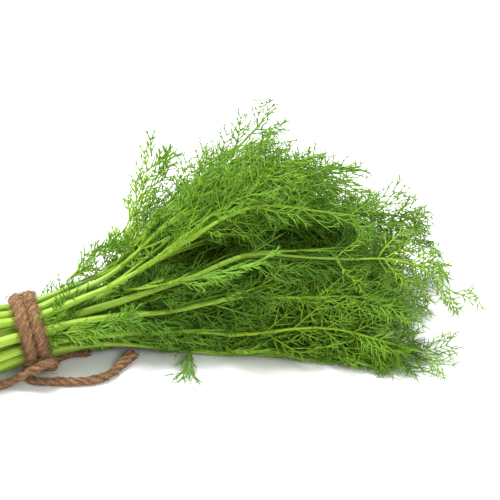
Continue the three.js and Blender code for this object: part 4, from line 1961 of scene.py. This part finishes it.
@dataclass
class Twine:
    """The jute twine round the stalks: two loops, the knot and two free ends.

    Attributes:
        tie: The middle of the tie, where the routes' zero lies.
        thick: The thickness of a free end.
        wide: The width of a loop's strand, pulled flat.
        flat: The thickness of that strand.
    """

    tie: np.ndarray = field(default_factory=tie_middle)
    thick: float = 3.6 * MM
    wide: float = 4.8 * MM
    flat: float = 3.4 * MM

    # The least angle between two rings of a loop in the frame, in degrees.
    RING_BREAK = 2

    # The size of the free ends and of the stub against the twine's thickness, and how much
    # lighter the free ends are painted than the loops: painted light.
    TAIL_SHARE = 0.92
    TAIL_PAINTED_LIGHT = 0.18
    STUB_SHARE = 0.9
    LOOP_PLY = 0.6

    # How many fibres lie on each, and how many stand away.
    TAIL_FIBRES = (260, 70)
    LOOP_FIBRES = (1500, 800)
    KNOT_FIBRES = (220, 70)
    STUB_FIBRES = (160, 50)

    # Routes in millimetres from the middle of the tie, at the surface.
    TAIL_LEFT = (
        (-6.1, -16.8, 8.4), (-9.4, -15.0, 5.4), (-13.2, -13.6, 2.9), (-17.6, -13.0, 1.85),
        (-22.4, -13.4, 1.85), (-27.4, -14.8, 1.85), (-32.2, -16.8, 1.85),
        (-37.2, -18.2, 1.85), (-42.4, -18.4, 1.85), (-47.4, -17.4, 1.85),
    )
    TAIL_FRONT = (
        (-3.4, -5.2, 2.0), (-4.7, -8.4, 1.85), (-5.0, -11.4, 1.85), (-3.9, -14.2, 1.85),
        (-1.4, -16.2, 1.85), (2.2, -17.9, 1.85), (6.4, -19.6, 1.85),
        (10.4, -21.2, 1.85), (14.4, -22.6, 1.85), (18.4, -23.6, 1.85),
        (22.4, -23.8, 1.85), (26.4, -22.8, 1.85), (30.0, -20.7, 1.85),
        (33.4, -18.1, 1.85), (36.8, -15.4, 1.85), (40.2, -12.8, 1.85),
    )
    KNOT_STRAND = (
        (3.4, -5.6, 2.2), (4.8, -10.6, 3.8), (5.4, -14.6, 6.8), (4.0, -17.4, 10.6),
        (0.8, -18.7, 11.8), (-2.8, -18.4, 10.6), (-5.8, -17.0, 8.6),
    )
    KNOT_STUB = (
        (4.4, -7.8, 3.0), (7.8, -5.8, 2.2), (11.6, -3.6, 1.8), (16.4, -2.9, 1.8),
        (22.6, -4.2, 1.8),
    )

    def route(self, points: tuple[tuple[float, float, float], ...]) -> np.ndarray:
        """A route's points in the frame, from millimetres about the tie."""
        return np.array(points) * MM + self.tie

    def build_tail(self, name: str, points: tuple[tuple[float, float, float], ...],
                   seed: int, flare: float, finish: TwineFinish) -> None:
        """Args:
            name: The end's name in the frame.
            points: Its route.
            seed: What its chance starts from.
            flare: How much its cut end opens.
            finish: What it is finished in.
        """
        line = evenly(self.route(points), Strand.STEP)
        shell = Shell()
        level = np.cross(UP, directions(line)[0])
        size = self.thick * self.TAIL_SHARE
        strand = Strand(line, level, size, size, seed, flare, light=self.TAIL_PAINTED_LIGHT)
        strand.add_to(shell, *self.TAIL_FIBRES)
        tail = shell.build(name.replace("twine_", ""), finish.material, Slot.TWINE, [name])

    def build_loop(self, name: str, seed: int, finish: TwineFinish) -> None:
        """Builds one loop round the stalks from its rings in the frame.

        Args:
            name: The loop's name.
            seed: What its chance starts from.
            finish: What it is finished in.
        """
        corners = SprigLine.corners(f"twine_{name}")
        low, high = (np.array(corner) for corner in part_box(f"twine_{name}"))
        centre = (low + high) / 2
        turn = np.arctan2(corners[:, 2] - centre[2], -(corners[:, 1] - centre[1]))
        rings = corners[np.argsort(turn)]
        turn = np.sort(turn)
        breaks = np.flatnonzero(np.diff(turn) > math.radians(self.RING_BREAK)) + 1
        middles = np.array([part.mean(0) for part in np.split(rings, breaks)])
        angles = np.array([part.mean() for part in np.split(turn, breaks)])
        widest = int(np.argmax(np.diff(np.append(angles, angles[0] + 2 * math.pi))))
        middles = np.roll(middles, -(widest + 1), axis=0)
        line = evenly(middles, Strand.STEP)
        shell = Shell()
        across = np.array([1.0, 0.0, 0.0])
        strand = Strand(line, across, self.wide, self.flat, seed, ply=self.LOOP_PLY)
        strand.add_to(shell, *self.LOOP_FIBRES)
        shell.build(name, finish.material, Slot.TWINE, [f"twine_{name}"])

    def build_knot(self, finish: TwineFinish) -> None:
        """Builds the crossing strand and the short stub.

        Args:
            finish: What they are finished in.
        """
        shell = Shell()
        line = evenly(self.route(self.KNOT_STRAND), Strand.STEP)
        crossing = Strand(line, UP, self.thick, self.thick, seed=31)
        crossing.add_to(shell, *self.KNOT_FIBRES)
        size = self.thick * self.STUB_SHARE
        line = evenly(self.route(self.KNOT_STUB), Strand.STEP)
        stub = Strand(line, UP, size, size, seed=32, flare=0.25)
        stub.add_to(shell, *self.STUB_FIBRES)
        shell.build("knot", finish.material, Slot.TWINE, ["twine_knot"])


# ---------------------------------------------------------------- the studio


@dataclass
class Studio:
    """The camera, the surface and the soft light.

    Attributes:
        target: Where the camera looks, from the middle of the tie.
        azimuth: The camera's side, in degrees.
        elevation: Its height above level, in degrees.
        distance: How far it stands.
        lens: Its focal length, in millimetres.
        sensor: The width of its sensor, in millimetres.
        sees: The least and the greatest distance that it sees.
        room: How bright the room is.
        half: Half the length and width of the surface.
    """

    target: tuple[float, float, float] = (92.55 * MM, -17.5 * MM, 44.9 * MM)
    azimuth: float = -22
    elevation: float = 33
    distance: float = 583 * MM
    lens: float = 100
    sensor: float = 36
    sees: tuple[float, float] = (0.01, 20)
    room: float = 0.6
    half: float = 3.0

    # The lamps: name, place, size and power in watts.
    LAMPS = (
        ("overhead", (-0.25, 0.35, 1.1), 0.55, 23),
        ("front", (0.5, -1.1, 0.9), 0.6, 8),
    )

    def place_camera(self) -> None:
        """Sets the camera up."""
        turn, rise = math.radians(self.azimuth), math.radians(self.elevation)
        back = np.array([math.sin(turn) * math.cos(rise), -math.cos(turn) * math.cos(rise),
                         math.sin(rise)])
        data = bpy.data.cameras.new("camera")
        data.lens = self.lens
        data.sensor_width = self.sensor
        data.clip_start, data.clip_end = self.sees
        camera = placed_object("camera", data)
        camera.location = tie_middle() + np.array(self.target) + self.distance * back
        camera.rotation_euler = (math.radians(90) - rise, 0, turn)
        bpy.context.scene.camera = camera

    def lay_surface(self, finish: SurfaceFinish) -> None:
        """Lays the plain surface.

        Args:
            finish: What it is finished in.
        """
        mesh = bpy.data.meshes.new("surface")
        half = self.half
        mesh.from_pydata([(-half, -half, 0), (half, -half, 0), (half, half, 0), (-half, half, 0)],
                         [], [(0, 1, 2, 3)])
        mesh.materials.append(finish.material)
        surface = placed_object("surface", mesh)

    def light(self) -> None:
        """Hangs two large soft lamps in a bright room."""
        world = bpy.data.worlds.new("room")
        world.use_nodes = True
        background = world.node_tree.nodes["Background"]
        background.inputs["Color"].default_value = (1, 1, 1, 1)
        background.inputs["Strength"].default_value = self.room
        bpy.context.scene.world = world
        bpy.context.scene.view_settings.view_transform = "Standard"
        for name, place, size, power in self.LAMPS:
            data = bpy.data.lights.new(name, "AREA")
            data.energy, data.size = power, size
            lamp = placed_object(name, data)
            lamp.location = place
            aim = -np.array(place)
            lamp.rotation_euler = (math.acos(-aim[2] / np.linalg.norm(aim)), 0,
                                   math.atan2(aim[0], -aim[1]) + math.pi)


def build_twine(finish: TwineFinish) -> None:
    """Builds the two free ends of the twine, then its loops and its knot.

    Args:
        finish: What it is finished in.
    """
    twine = Twine()
    twine.build_tail("twine_tail_left", twine.TAIL_LEFT, seed=21, flare=0.2, finish=finish)
    twine.build_tail("twine_tail_front", twine.TAIL_FRONT, seed=22, flare=0.95, finish=finish)
    twine.build_loop("loop_left", seed=23, finish=finish)
    twine.build_loop("loop_right", seed=24, finish=finish)
    twine.build_knot(finish)


def build_plants(stalk_finish: StalkFinish, frond_finish: FrondFinish) -> None:
    """Builds the sprigs and the small leaves on the outside.

    Args:
        stalk_finish: What the stalks are finished in.
        frond_finish: What the leaves are finished in.
    """
    names = sorted(node.removeprefix("frond_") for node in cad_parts
                   if node.startswith("frond_"))
    lines = {name: SprigLine.of(name) for name in names}
    open_stalks = {"crest_1": (-40 * MM, 88 * MM), "crown_1": (-40 * MM, 18 * MM),
                   "heart_1": (-40 * MM, 14 * MM)}
    mound = Mound(lines, open_stalks, sprayed="crest_1")
    for seed, name in enumerate(lines):
        sprig = Sprig(name, seed, mound)
        sprig.build_stalk(stalk_finish)
        sprig.build_leaves(frond_finish)
    leaves = sorted(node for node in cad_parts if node.startswith("leaf_"))
    for seed, node in enumerate(leaves):
        SideLeaf(node.removeprefix("leaf_"), seed).build(frond_finish, mound)


def main() -> None:
    """Builds the studio, the twine, the sprigs and the small leaves."""
    logging.basicConfig(level=logging.INFO, format="%(message)s")
    studio = Studio()
    studio.place_camera()

    green, fibres = dill_green_group(), fibre_group()
    twine_finish = TwineFinish("jute", roughness=0.95, specular=0.15, fibres=fibres)
    stalk_finish = StalkFinish("stalk", roughness=0.5, specular=0.35, green=green,
                               fibres=fibres)
    frond_finish = FrondFinish("frond", roughness=0.5, specular=0.35, green=green)

    build_twine(twine_finish)
    build_plants(stalk_finish, frond_finish)
    log.info("%d triangles in all", Shell.made)

    studio.lay_surface(SurfaceFinish("surface", roughness=0.6, specular=0.2))
    studio.light()


if __name__ == "__main__":
    main()
